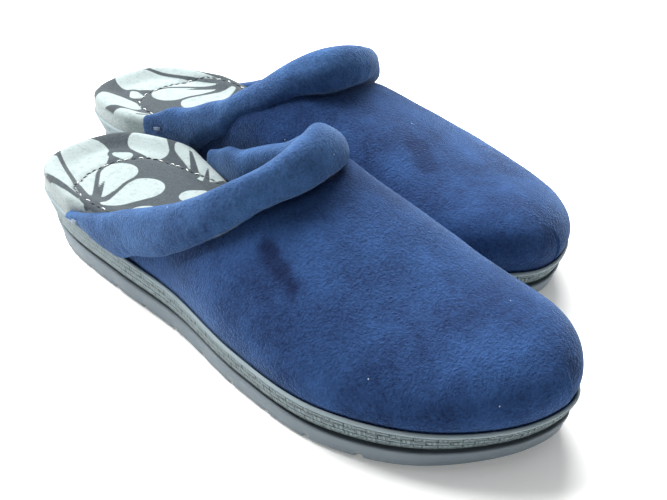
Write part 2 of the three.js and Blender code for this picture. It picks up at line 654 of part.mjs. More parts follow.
/** One slipper as a group of named meshes; mirrored for the other foot. */
function makeSlipper(name, mirrored) {
  const slipper = new THREE.Group();
  for (const [piece, make, look] of PIECES) {
    let geometry = make();
    geometry.deleteAttribute('normal');
    geometry.deleteAttribute('uv');
    if (mirrored) geometry.scale(1, -1, 1);
    geometry = closeUp(geometry);
    geometry.computeVertexNormals();
    const mesh = new THREE.Mesh(geometry, new THREE.MeshStandardMaterial(look));
    mesh.name = `${name}_${piece}`;
    slipper.add(mesh);
  }
  return slipper;
}

/** Furthest y of each slice of a group along x, towards the side given as 1 or -1. */
function reach(group, side, slice = 4) {
  const found = new Map();
  group.updateMatrixWorld(true);
  group.traverse((mesh) => {
    if (!mesh.isMesh) return;
    const position = mesh.geometry.getAttribute('position');
    for (let i = 0; i < position.count; i += 1) {
      const p = new THREE.Vector3().fromBufferAttribute(position, i).applyMatrix4(mesh.matrixWorld);
      const key = Math.round(p.x / slice);
      found.set(key, Math.max(found.get(key) ?? -Infinity, side * p.y));
    }
  });
  return found;
}

const right = makeSlipper('right', false);
const left = makeSlipper('left', true);
left.rotation.z = THREE.MathUtils.degToRad(TOE_OUT);
left.position.x = -STAGGER;
const rightReach = reach(right, 1);
const leftReach = reach(left, -1);
const meeting = [...rightReach.keys()].filter((key) => leftReach.has(key));
left.position.y = PAIR_GAP + Math.max(...meeting.map((key) => rightReach.get(key) + leftReach.get(key)));

const pair = new THREE.Group();
pair.add(right, left);
pair.updateMatrixWorld(true);
const box = new THREE.Box3().setFromObject(pair, true);
const middle = box.getCenter(new THREE.Vector3());
pair.position.set(-middle.x, -middle.y, -box.min.z);

export default pair;
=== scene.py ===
"""A pair of velour spa slippers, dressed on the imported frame.

Each slipper is built in its own axes in millimetres, +X to the toe, +Y to the inner side
and +Z up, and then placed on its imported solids. The left one is the mirror of the right.
"""
import logging
import math
from dataclasses import dataclass, field
from enum import Enum
from typing import Optional, Sequence

import bmesh
import bpy
import numpy as np
from mathutils import Matrix, Vector


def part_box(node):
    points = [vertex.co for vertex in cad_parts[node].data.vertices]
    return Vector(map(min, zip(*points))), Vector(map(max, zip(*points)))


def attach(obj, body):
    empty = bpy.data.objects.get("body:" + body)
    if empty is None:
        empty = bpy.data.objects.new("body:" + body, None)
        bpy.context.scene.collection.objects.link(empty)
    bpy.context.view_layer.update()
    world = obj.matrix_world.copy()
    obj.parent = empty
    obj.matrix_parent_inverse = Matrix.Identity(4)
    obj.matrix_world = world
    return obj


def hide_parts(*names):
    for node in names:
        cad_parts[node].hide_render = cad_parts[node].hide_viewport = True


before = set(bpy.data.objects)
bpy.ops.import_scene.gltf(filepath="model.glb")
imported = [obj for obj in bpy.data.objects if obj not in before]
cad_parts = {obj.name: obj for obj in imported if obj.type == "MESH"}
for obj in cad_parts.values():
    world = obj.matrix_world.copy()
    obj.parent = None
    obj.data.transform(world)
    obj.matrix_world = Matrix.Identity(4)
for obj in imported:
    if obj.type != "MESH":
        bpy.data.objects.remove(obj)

logging.basicConfig(level=logging.INFO, format="%(message)s")
LOG = logging.getLogger("slippers")
MM = 0.001
SEAM_STEPS = 240
CHUNK = 3000
Array = np.ndarray


class Side(Enum):
    """Outer (lateral) or inner (medial) side of a slipper."""

    OUTER = -1
    INNER = 1


class Foot(Enum):
    """Which foot a slipper is for."""

    RIGHT = "right"
    LEFT = "left"


# ------------------------------------------------------------------ small maths
def smooth(x: Array, low: float, high: float) -> Array:
    """Smooth step from 0 at low to 1 at high.

    Args:
        x: Values to test.
        low: Where the step starts.
        high: Where it ends.

    Returns:
        The step, the same shape as x.
    """
    t = np.clip((np.asarray(x, float) - low) / (high - low), 0.0, 1.0)
    return t * t * (3 - 2 * t)


def spline(points: Sequence[Sequence[float]], count: int, closed: bool = False) -> Array:
    """A centripetal Catmull-Rom curve through points, evenly spaced in its parameter.

    Args:
        points: The points it passes through.
        count: How many points to return.
        closed: Whether the last point joins the first.

    Returns:
        An array of count points.
    """
    p = np.asarray(points, float)
    if closed:
        p = np.vstack([p[-1], p, p[0], p[1]])
    else:
        p = np.vstack([2 * p[0] - p[1], p, 2 * p[-1] - p[-2]])
    spans = len(p) - 3
    t = np.linspace(0, spans, count, endpoint=not closed)
    i = np.minimum(t.astype(int), spans - 1)
    w = (t - i)[:, None]
    a, b, c, d = p[i], p[i + 1], p[i + 2], p[i + 3]

    def knot(u: Array, v: Array) -> Array:
        """Centripetal knot step between two points."""
        return np.maximum(np.linalg.norm(u - v, axis=1, keepdims=True) ** 0.5, 1e-4)

    d0, d1, d2 = knot(a, b), knot(b, c), knot(c, d)
    m1 = ((b - a) / d0 - (c - a) / (d0 + d1) + (c - b) / d1) * d1
    m2 = ((c - b) / d1 - (d - b) / (d1 + d2) + (d - c) / d2) * d1
    return ((2 * w**3 - 3 * w**2 + 1) * b + (w**3 - 2 * w**2 + w) * m1
            + (3 * w**2 - 2 * w**3) * c + (w**3 - w**2) * m2)


def resample(points: Array, count: int, closed: bool = False) -> Array:
    """Points spaced evenly along a polyline.

    Args:
        points: The polyline.
        count: How many points to return.
        closed: Whether the last point joins the first.

    Returns:
        An array of count points.
    """
    p = np.vstack([points, points[:1]]) if closed else points
    run = np.concatenate([[0], np.cumsum(np.linalg.norm(np.diff(p, axis=0), axis=1))])
    at = np.linspace(0, run[-1], count, endpoint=not closed)
    return np.stack([np.interp(at, run, p[:, k]) for k in range(p.shape[1])], axis=1)


def unit(v: Array) -> Array:
    """Vectors scaled to length one."""
    return v / np.maximum(np.linalg.norm(v, axis=-1, keepdims=True), 1e-9)


def nearest(points: Array, line: Array) -> Array:
    """Distance from each point to the nearest point of a line.

    Args:
        points: Points to measure from.
        line: Points close together along the line.

    Returns:
        One distance for each point.
    """
    parts = [np.linalg.norm(points[i:i + CHUNK, None] - line[None], axis=2).min(axis=1)
             for i in range(0, len(points), CHUNK)]
    return np.concatenate(parts)


def lumps(points: Array, size: float, seed: float) -> Array:
    """A soft wavy field over space, for hand-made unevenness.

    Args:
        points: Points in millimetres.
        size: Typical width of a lump in millimetres.
        seed: Shifts the waves, so that no two pieces are alike.

    Returns:
        Values from about -1 to 1, one for each point.
    """
    total = np.zeros(len(points))
    for k in range(5):
        turn = seed * 1.7 + k * 2.399
        way = np.array([math.cos(turn), math.sin(turn), 0.6 * math.cos(turn * 1.9)])
        total += np.sin(points @ way * (2 * math.pi / (size * (0.8 + 0.17 * k))) + seed * (k + 1) * 1.3)
    return total / 5


# ------------------------------------------------------------------ the last
@dataclass(frozen=True)
class Last:
    """The form that a slipper is built on: plan, heights, dome and seam, in millimetres.

    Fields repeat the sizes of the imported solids.
    """

    length: float = 261.0
    width: float = 86.0
    rise: float = 62.0
    heel_height: float = 20.4
    ball_height: float = 16.8
    toe_spring: float = 3.9
    outsole_share: float = 0.42
    taper: float = 2.2
    heel_undercut: float = 8.0
    lip_height: float = 3.0
    feather_inset: float = 1.4
    opening_rear: float = 86.0
    opening_front: float = 158.0
    bulge: float = 5.5
    toe_fullness: float = 1.9
    outer_fullness: float = 1.64
    inner_fullness: float = 2.17
    spine_end: float = 0.9
    spine_offset: float = 0.145
    feather_lift: float = 0.3
    layer_step: float = 0.7
    plan: tuple = (
        (0.009, 0.0), (0.04, -0.24), (0.154, -0.365), (0.314, -0.415), (0.459, -0.44),
        (0.623, -0.522), (0.78, -0.528), (0.913, -0.357), (0.991, -0.065), (0.996, 0.199),
        (0.916, 0.393), (0.761, 0.463), (0.583, 0.431), (0.408, 0.388), (0.232, 0.398),
        (0.135, 0.4), (0.032, 0.265),
    )
    crest_line: tuple = (
        (0.2, 1.6), (0.43, 1.27), (0.58, 1.035), (0.7, 0.865), (0.8, 0.72), (0.88, 0.66), (1.0, 0.63),
    )
    seam_line: tuple = (
        (0, -1), (0.19, -0.9), (0.4, -0.81), (0.67, -0.63), (0.83, -0.46), (0.93, -0.24), (1, 0),
        (0.85, 0.24), (0.69, 0.46), (0.49, 0.63), (0.36, 0.81), (0.19, 0.9), (0.04, 1),
    )

    def outline(self, inset: float = 0.0, count: int = 720) -> Array:
        """The rim's plan, anticlockwise from near the heel.

        Args:
            inset: How far inside the rim.
            count: How many points.

        Returns:
            An array of (x, y).
        """
        p = spline(np.array(self.plan) * (self.length, self.width), count, closed=True)
        along = unit(np.roll(p, -1, axis=0) - np.roll(p, 1, axis=0))
        return p + inset * np.stack([-along[:, 1], along[:, 0]], axis=1)

    def sides(self, inset: float = 0.0) -> dict:
        """Both sides of the plan, each from heel to toe.

        Args:
            inset: How far inside the rim.

        Returns:
            An array of (x, y) for each Side.
        """
        p = self.outline(inset)
        heel, toe = int(p[:, 0].argmin()), int(p[:, 0].argmax())
        count = len(p)
        outer = p[np.arange(heel, heel + (toe - heel) % count + 1) % count]
        inner = p[np.arange(toe, toe + (heel - toe) % count + 1) % count][::-1]
        return {Side.OUTER: outer, Side.INNER: inner}

    def along_opening(self, share: Array) -> Array:
        """Station at a share of the way along the foot opening, from its rear end."""
        return self.opening_rear + share * (self.opening_front - self.opening_rear)

    def rim(self, x: Array) -> Array:
        """Rim height above the ground at x."""
        n, h, b = self.length, self.heel_height, self.ball_height
        line = [(0, h), (0.2 * n, h), (0.41 * n, h - 0.5), (0.7 * n, b), (0.9 * n, b + 0.3), (n, b + 1.3)]
        p = spline(line, 200)
        return np.interp(x, p[:, 0], p[:, 1])

    def ground(self, x: Array) -> Array:
        """Height of the underside at x: flat, then lifting towards the toe."""
        return self.toe_spring * np.clip((np.asarray(x) / self.length - 0.7) / 0.3, 0, 1) ** 2

    def level(self, x: Array, share: float) -> Array:
        """Height between the ground at share 0 and the rim at share 1."""
        return self.ground(x) * (1 - share) + self.rim(x) * share

    def wall_inset(self, x: Array, share: float) -> Array:
        """How far the sole's wall stands in from the rim at a share of its height."""
        heel = 1 - smooth(x, 0, 0.16 * self.length)
        toe = smooth(x, 0.86 * self.length, self.length)
        return (1 - share) * (self.taper + heel * (self.heel_undercut - self.taper) + toe * self.taper)

    def crest(self, x: Array, depth: float = 0.0) -> Array:
        """Height of the upper's crest at x, before the toe rounds down."""
        p = spline(np.array(self.crest_line) * (self.length, self.rise), 200)
        return np.interp(x, p[:, 0], p[:, 1]) - depth


@dataclass
class Dome:
    """One layer of the upper: a surface some depth below the velour's face."""

    last: Last
    depth: float
    sides: dict = field(init=False)

    def __post_init__(self) -> None:
        """Works out the feather line of this layer."""
        self.sides = self.last.sides(self.last.feather_inset + self.depth)

    @property
    def toe(self) -> Array:
        """The foremost point of this layer's feather line."""
        return self.sides[Side.OUTER][-1]

    @property
    def shift(self) -> float:
        """How much further forward the seam of this layer lies."""
        return self.depth * self.last.layer_step

    def point(self, x: Array, around: Array) -> Array:
        """Points of the layer.

        Args:
            x: Stations from the heel.
            around: -1 at the outer feather line, 0 on the crest, 1 at the inner one.

        Returns:
            An array of (x, y, z).
        """
        last = self.last
        x = np.minimum(np.asarray(x, float), self.toe[0])
        around = np.asarray(around, float)
        spine_end = last.spine_end * last.length
        power = np.where(around < 0, 2 / last.outer_fullness, 2 / last.inner_fullness)
        angle = (1 - np.abs(around)) * math.pi / 2
        edge = {side: np.interp(x, p[:, 0], p[:, 1]) for side, p in self.sides.items()}
        edge_y = np.where(around < 0, edge[Side.OUTER], edge[Side.INNER])
        at = np.minimum(x, spine_end)
        between = sum(np.interp(at, p[:, 0], p[:, 1]) for p in self.sides.values()) / 2
        spine_y = between + last.spine_offset * last.width
        front = np.clip((x - spine_end) / (self.toe[0] - spine_end), 0, 1)
        middle = spine_y * (1 - front) + self.toe[1] * front
        edge_y = np.where(front >= 1, self.toe[1], edge_y)
        foot = last.rim(x) + last.feather_lift
        full = last.crest(x, self.depth)
        fall = (1 - front**last.toe_fullness) ** (1 / last.toe_fullness)
        crest = foot + (full - foot) * fall
        y = middle + (edge_y - middle) * np.cos(angle) ** power
        z = foot + (crest - foot) * np.sin(angle) ** power
        out = unit(np.stack([x - at, y - spine_y], axis=-1))
        lean = np.arcsin(np.clip((z - foot) / (full - foot), 0, 1) ** (1 / power))
        push = last.bulge * np.sin(2 * lean)
        return np.stack([x + out[..., 0] * push, y + out[..., 1] * push, z], axis=-1)

    def seam(self, count: int = SEAM_STEPS) -> Array:
        """The collar seam as stations and ways round, from outer to inner rear end."""
        line = np.array(self.last.seam_line, float)
        line[:, 0] = self.last.along_opening(line[:, 0])
        return spline(line, count + 1)

    def seam_around(self, x: Array, side: Side) -> Array:
        """How far round the seam is at x, on one side."""
        line = self.seam()
        half = len(line) // 2
        line = line[: half + 1] if side is Side.OUTER else line[half:][::-1]
        found = np.interp(np.asarray(x) - self.shift, line[:, 0], line[:, 1])
        return np.where(np.asarray(x) - self.shift <= line[0, 0], side.value, found)

    def grid(self, back: int, front: int, across: int) -> tuple:
        """A grid of points over the layer with the foot opening left out.

        Args:
            back: Stations beside the opening.
            front: Stations in front of it.
            across: Cells from seam to rim on each side.

        Returns:
            The points, rows by columns, and a mask of the cells that exist.
        """
        half = SEAM_STEPS // 2
        line = self.seam()[: half + 1]
        rear = line[np.round(np.arange(back) * half / back).astype(int), 0] + self.shift
        start, end = self.last.opening_front + self.shift, self.toe[0]
        fore = start + (end - start) * np.sin(np.linspace(0, math.pi / 2, front + 1))
        x = np.concatenate([rear, fore])
        share = np.linspace(0, 1, across + 1) ** 0.85
        gap = smooth(x, start, start + 40) / (2 * across + 1)
        rows = []
        for side in Side:
            open_end = self.seam_around(x, side)
            end_at = np.where(x < start - 1e-6, open_end, side.value * gap)
            around = side.value + (end_at[:, None] - side.value) * share[None, :]
            xs = np.repeat(x[:, None], across + 1, axis=1)
            wall = self.point(xs, around)
            lasted = wall[:, :1].copy()
            lasted[..., 2] = (self.last.rim(x) - self.last.lip_height + self.last.feather_lift)[:, None]
            rows.append(np.concatenate([lasted, wall], axis=1))
        points = np.concatenate([rows[0], rows[1][:, ::-1]], axis=1)
        mask = np.ones((len(x) - 1, points.shape[1] - 1), bool)
        mask[:back, across + 1] = False
        return points, mask


# ------------------------------------------------------------------ placing
@dataclass
class Placer:
    """Takes points from a slipper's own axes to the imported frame."""

    foot: Foot
    last: Last
    toe_out: float = 5.07

    def __post_init__(self) -> None:
        """Finds the shift that puts the midsole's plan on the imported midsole."""
        low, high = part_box(f"{self.foot.value}_midsole")
        plan = self.last.outline()
        flat = self.turn(np.column_stack([plan, np.zeros(len(plan))]))
        centre = (flat.min(axis=0) + flat.max(axis=0)) / 2
        self.shift = np.array([(low.x + high.x) / 2, (low.y + high.y) / 2, 0]) / MM - centre
        self.shift[2] = 0.0

    def turn(self, points: Array) -> Array:
        """Mirrors and turns points for the left foot."""
        if self.foot is Foot.RIGHT:
            return np.asarray(points, float)
        a = math.radians(self.toe_out)
        x, y, z = points[..., 0], -points[..., 1], points[..., 2]
        return np.stack([x * math.cos(a) - y * math.sin(a), x * math.sin(a) + y * math.cos(a), z], axis=-1)

    def __call__(self, points: Array) -> Array:
        """Points in the frame's metres.

        Args:
            points: Points in the slipper's own millimetres.

        Returns:
            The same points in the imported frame.
        """
        return (self.turn(points) + self.shift) * MM

    def back(self, metres: Array) -> Array:
        """Points of the frame in the slipper's own millimetres.

        Args:
            metres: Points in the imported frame.

        Returns:
            The same points in the slipper's own axes.
        """
        p = metres / MM - self.shift
        if self.foot is Foot.RIGHT:
            return p
        a = math.radians(-self.toe_out)
        x = p[:, 0] * math.cos(a) - p[:, 1] * math.sin(a)
        y = p[:, 0] * math.sin(a) + p[:, 1] * math.cos(a)
        return np.column_stack([x, -y, p[:, 2]])


# ------------------------------------------------------------------ mesh helpers
def new_object(name: str, points: Array, faces: Sequence[Sequence[int]]) -> bpy.types.Object:
    """An object from points and faces, merged and facing out.

    Args:
        name: The piece's name.
        points: Vertex positions in metres.
        faces: Vertex numbers of each face.

    Returns:
        The new object, smooth shaded.
    """
    mesh = bpy.data.meshes.new(name)
    mesh.from_pydata(np.asarray(points).reshape(-1, 3).tolist(), [], [list(map(int, f)) for f in faces])
    work = bmesh.new()
    work.from_mesh(mesh)
    bmesh.ops.remove_doubles(work, verts=work.verts, dist=0.005 * MM)
    bmesh.ops.dissolve_degenerate(work, edges=work.edges, dist=0.002 * MM)
    bmesh.ops.recalc_face_normals(work, faces=work.faces)
    if work.calc_volume(signed=True) < 0:
        bmesh.ops.reverse_faces(work, faces=work.faces)
    work.to_mesh(mesh)
    work.free()
    mesh.polygons.foreach_set("use_smooth", np.ones(len(mesh.polygons), bool))
    mesh.update()
    piece = bpy.data.objects.new(name, mesh)
    bpy.context.scene.collection.objects.link(piece)
    return piece


def sheet_faces(rows: int, columns: int, mask: Array) -> list:
    """Faces of a sheet with thickness: two grids of points, one after the other.

    The last row is folded to a point at the toe, so it needs no wall.

    Args:
        rows: Rows of points in each grid.
        columns: Columns of points in each grid.
        mask: Which cells exist.

    Returns:
        A list of faces.
    """
    def at(layer: int, i: int, j: int) -> int:
        """Vertex number of a grid point."""
        return layer * rows * columns + i * columns + j

    def there(i: int, j: int) -> bool:
        """Whether a cell exists."""
        return 0 <= i < rows - 1 and 0 <= j < columns - 1 and bool(mask[i, j])

    faces = []
    for i in range(rows - 1):
        for j in range(columns - 1):
            if not there(i, j):
                continue
            faces.append((at(0, i, j), at(0, i + 1, j), at(0, i + 1, j + 1), at(0, i, j + 1)))
            faces.append((at(1, i, j), at(1, i, j + 1), at(1, i + 1, j + 1), at(1, i + 1, j)))
            for ni, nj, a, b in ((i, j - 1, (i, j), (i + 1, j)), (i, j + 1, (i + 1, j + 1), (i, j + 1)),
                                 (i - 1, j, (i, j + 1), (i, j)), (i + 1, j, (i + 1, j), (i + 1, j + 1))):
                if there(ni, nj) or ni == rows - 1:
                    continue
                faces.append((at(0, *a), at(1, *a), at(1, *b), at(0, *b)))
    return faces


def ring_faces(rings: int, count: int, start: int = 0) -> list:
    """Faces between closed rings of points, ring after ring."""
    return [(start + r * count + i, start + r * count + (i + 1) % count,
             start + (r + 1) * count + (i + 1) % count, start + (r + 1) * count + i)
            for r in range(rings - 1) for i in range(count)]


def extruded_wall(name: str, rings: Sequence[Array]) -> bpy.types.Object:
    """A moulded wall: a circle of points drawn up ring by ring, and filled at both ends.

    Args:
        name: The piece's name.
        rings: Rings of points in metres, all of one count.

    Returns:
        The new object, with the column of each vertex in the attribute "column".
    """
    count = len(rings[0])
    bpy.ops.object.select_all(action="DESELECT")
    bpy.ops.mesh.primitive_circle_add(vertices=count, radius=0.1, fill_type="NOTHING")
    piece = bpy.context.object
    piece.name = name
    piece.data.name = name
    column = piece.data.attributes.new("column", "INT", "POINT")
    column.data.foreach_set("value", np.arange(count))
    piece.data.vertices.foreach_set("co", np.asarray(rings[0], np.float32).ravel())
    bpy.ops.object.mode_set(mode="EDIT")
    bpy.ops.mesh.select_all(action="SELECT")
    for ring in rings[1:]:
        bpy.ops.mesh.extrude_edges_move()
        edit = bmesh.from_edit_mesh(piece.data)
        layer = edit.verts.layers.int["column"]
        for vert in edit.verts:
            if vert.select:
                vert.co = ring[vert[layer]]
        bmesh.update_edit_mesh(piece.data)
    bpy.ops.mesh.fill()
    bpy.ops.mesh.select_all(action="DESELECT")
    bpy.ops.mesh.select_mode(type="EDGE")
    bpy.ops.mesh.select_non_manifold(extend=False)
    bpy.ops.mesh.fill()
    bpy.ops.mesh.select_all(action="SELECT")
    bpy.ops.mesh.normals_make_consistent(inside=False)
    bpy.ops.mesh.faces_shade_smooth()
    bpy.ops.object.mode_set(mode="OBJECT")
    return piece


def float_attribute(piece: bpy.types.Object, name: str, values: Array) -> None:
    """Stores one number for each vertex, for a material to read."""
    data = piece.data.attributes.new(name, "FLOAT", "POINT")
    data.data.foreach_set("value", np.asarray(values, np.float32))


def vertices_of(piece: bpy.types.Object) -> Array:
    """Vertex positions of a piece, in metres."""
    co = np.empty(len(piece.data.vertices) * 3, np.float32)
    piece.data.vertices.foreach_get("co", co)
    return co.reshape(-1, 3).astype(float)


# ------------------------------------------------------------------ finishes
def linear(colour: str) -> tuple:
    """An sRGB hex colour as linear red, green, blue and alpha.

    Args:
        colour: Six hex digits, with or without a leading #.

    Returns:
        Four numbers from 0 to 1.
    """
    code = colour.lstrip("#")
    parts = [int(code[i:i + 2], 16) / 255 for i in (0, 2, 4)]
    return tuple(c / 12.92 if c <= 0.04045 else ((c + 0.055) / 1.055) ** 2.4 for c in parts) + (1.0,)


class Shader:
    """A material under construction, with a short way to add and wire its nodes."""

    def __init__(self, name: str) -> None:
        """Starts a node material.

        Args:
            name: Name of the material.
        """
        self.material = bpy.data.materials.new(name)
        self.material.use_nodes = True
        self.tree = self.material.node_tree
        self.surface = self.tree.nodes["Principled BSDF"]

    def add(self, kind: str, inputs: Optional[dict] = None, output: int | str = 0, **settings) -> object:
        """Adds a node.

        Args:
            kind: Node type without the "ShaderNode" prefix.
            inputs: Values or sockets for its inputs, by name or number.
            output: Which output to return.
            settings: Properties of the node.

        Returns:
            The chosen output socket.
        """
        node = self.tree.nodes.new("ShaderNode" + kind)
        for key, value in settings.items():
            setattr(node, key, value)
        for key, value in (inputs or {}).items():
            self.wire(node.inputs[key], value)
        return node.outputs[output]

    def wire(self, socket: object, value: object) -> None:
        """Links a socket to another one, or sets its value."""
        if isinstance(value, bpy.types.NodeSocket):
            self.tree.links.new(value, socket)
        else:
            socket.default_value = value

    def set(self, **values) -> None:
        """Sets inputs of the main shader; underscores stand for spaces."""
        for key, value in values.items():
            self.wire(self.surface.inputs[key.replace("_", " ")], value)

    def place(self) -> object:
        """Object coordinates."""
        return self.add("TexCoord", output="Object")

    def number(self, name: str) -> object:
        """A number stored on the mesh."""
        return self.add("Attribute", output="Fac", attribute_name=name)

    def noise(self, size_mm: float, detail: float = 2.0, rough: float = 0.5) -> object:
        """Noise with features of about size_mm millimetres, as a number."""
        return self.add("TexNoise", {"Vector": self.place(), "Scale": 1 / (size_mm * MM),
                                     "Detail": detail, "Roughness": rough})

    def ramp(self, value: object, low: float, high: float,
             to_low: float = 0.0, to_high: float = 1.0) -> object:
        """A value stretched so that low and high become to_low and to_high, and kept between them."""
        return self.add("MapRange", {"Value": value, "From Min": low, "From Max": high,
                                     "To Min": to_low, "To Max": to_high})

    def math(self, operation: str, a: object, b: object = 0.0) -> object:
        """Arithmetic on two numbers."""
        return self.add("Math", {0: a, 1: b}, operation=operation)

    def mix(self, share: object, a: object, b: object) -> object:
        """A colour between a and b; both may be hex codes."""
        a, b = (linear(c) if isinstance(c, str) else c for c in (a, b))
        return self.add("Mix", {0: share, 6: a, 7: b}, output=2, data_type="RGBA")

    def bump(self, height: object, depth_mm: float, strength: float = 1.0, after: object = None) -> object:
        """A surface normal from a height between 0 and 1."""
        inputs = {"Height": height, "Distance": depth_mm * MM, "Strength": strength}
        if after is not None:
            inputs["Normal"] = after
        return self.add("Bump", inputs)


@dataclass(frozen=True)
class Plain:
    """A plain matt material with a faint mottle."""

    name: str
    colour: str
    roughness: float = 0.8
    mottle: float = 0.06
    grain_mm: float = 2.0

    def build(self) -> bpy.types.Material:
        """Makes the material."""
        s = Shader(self.name)
        parts = (int(self.colour[i:i + 2], 16) for i in (0, 2, 4))
        dark = "".join("%02x" % int(part * (1 - 2 * self.mottle)) for part in parts)
        grain = s.noise(self.grain_mm, 3)
        s.set(Base_Color=s.mix(s.ramp(grain, 0.35, 0.65), dark, self.colour), Roughness=self.roughness,
              Normal=s.bump(grain, 0.1))
        return s.material


@dataclass(frozen=True)
class Velour:
    """Short-napped velour: a soft sheen, brushed patches and a few specks of lint."""

    name: str = "velour"
    lit: str = "33558a"
    deep: str = "0e1c3d"
    pressed: str = "0b1638"
    lint: str = "c9d2e2"
    patch_mm: float = 22.0
    grain_mm: float = 1.0
    speck_mm: float = 0.22
    lint_mm: float = 7.0
    lint_free: float = 0.72
    patch_share: float = 0.42
    grain_share: float = 0.36
    tuft_share: float = 0.22
    sheen: float = 0.5
    sheen_tint: str = "9fc0ea"

    def build(self) -> bpy.types.Material:
        """Makes the material."""
        s = Shader(self.name)
        patches = s.ramp(s.noise(self.patch_mm, 2, 0.55), 0.35, 0.7)
        tufts = s.noise(self.grain_mm * 3, 3, 0.7)
        grain = s.noise(self.grain_mm, 2, 0.8)
        fine = s.math("ADD", s.math("MULTIPLY", s.ramp(grain, 0.3, 0.7), self.grain_share),
                      s.math("MULTIPLY", s.ramp(tufts, 0.3, 0.7), self.tuft_share))
        nap = s.math("ADD", s.math("MULTIPLY", patches, self.patch_share), fine)
        cloth = s.mix(nap, self.deep, self.lit)
        mark = s.math("MULTIPLY", s.number("pressed"), s.ramp(tufts, 0.3, 0.55, 0.55, 1.0))
        cloth = s.mix(mark, cloth, self.pressed)
        spread = {"Vector": s.place(), "Scale": 1 / (self.lint_mm * MM)}
        cell, kind = (s.add("TexVoronoi", spread, output=output) for output in ("Distance", "Color"))
        chosen = s.math("GREATER_THAN", s.add("SeparateColor", {0: kind}), self.lint_free)
        speck = s.math("MULTIPLY", s.math("LESS_THAN", cell, self.speck_mm / self.lint_mm), chosen)
        s.set(Base_Color=s.mix(speck, cloth, self.lint), Roughness=0.92, Specular_IOR_Level=0.12,
              Sheen_Weight=self.sheen, Sheen_Roughness=0.3, Sheen_Tint=linear(self.sheen_tint))
        s.set(Normal=s.bump(grain, 0.7, 1.0, s.bump(tufts, 0.6, 0.45)))
        return s.material


@dataclass(frozen=True)
class PrintedFelt:
    """Pale mottled felt with a charcoal print, both wool-like."""

    name: str = "printed_felt"
    pale: str = "8f9b9b"
    speck: str = "687676"
    charcoal: str = "202a2f"
    charcoal_fibre: str = "36434a"
    # painted shade along the sewn groove
    groove: str = "2b353b"
    side_dark: str = "6f7b7c"
    side_pale: str = "8f9a9a"

    def build(self) -> bpy.types.Material:
        """Makes the material."""
        s = Shader(self.name)
        fine = s.noise(0.9, 4, 0.7)
        mottle = s.noise(3.2, 4, 0.65)
        wool = s.math("ADD", s.math("MULTIPLY", s.ramp(fine, 0.52, 0.75), 0.55),
                      s.math("MULTIPLY", s.ramp(mottle, 0.5, 0.78), 0.6))
        pale = s.mix(wool, self.pale, self.speck)
        dark = s.mix(s.ramp(fine, 0.4, 0.75), self.charcoal, self.charcoal_fibre)
        ragged = s.math("ADD", s.number("print"), s.math("MULTIPLY", s.math("SUBTRACT", fine, 0.5), 0.5))
        face = s.mix(s.ramp(ragged, -0.18, 0.18), pale, dark)
        side = s.mix(s.ramp(fine, 0.35, 0.65), self.side_dark, self.side_pale)
        face = s.mix(s.number("edge"), face, side)
        # Painted shade: darker within about a millimetre of the stitch line, in the sewn groove.
        face = s.mix(s.math("MULTIPLY", s.number("groove"), 0.85), face, self.groove)
        s.set(Base_Color=face, Roughness=0.97, Specular_IOR_Level=0.1, Sheen_Weight=0.2,
              Sheen_Roughness=0.6, Normal=s.bump(fine, 0.25, 0.7, s.bump(mottle, 0.3, 0.4)))
        return s.material


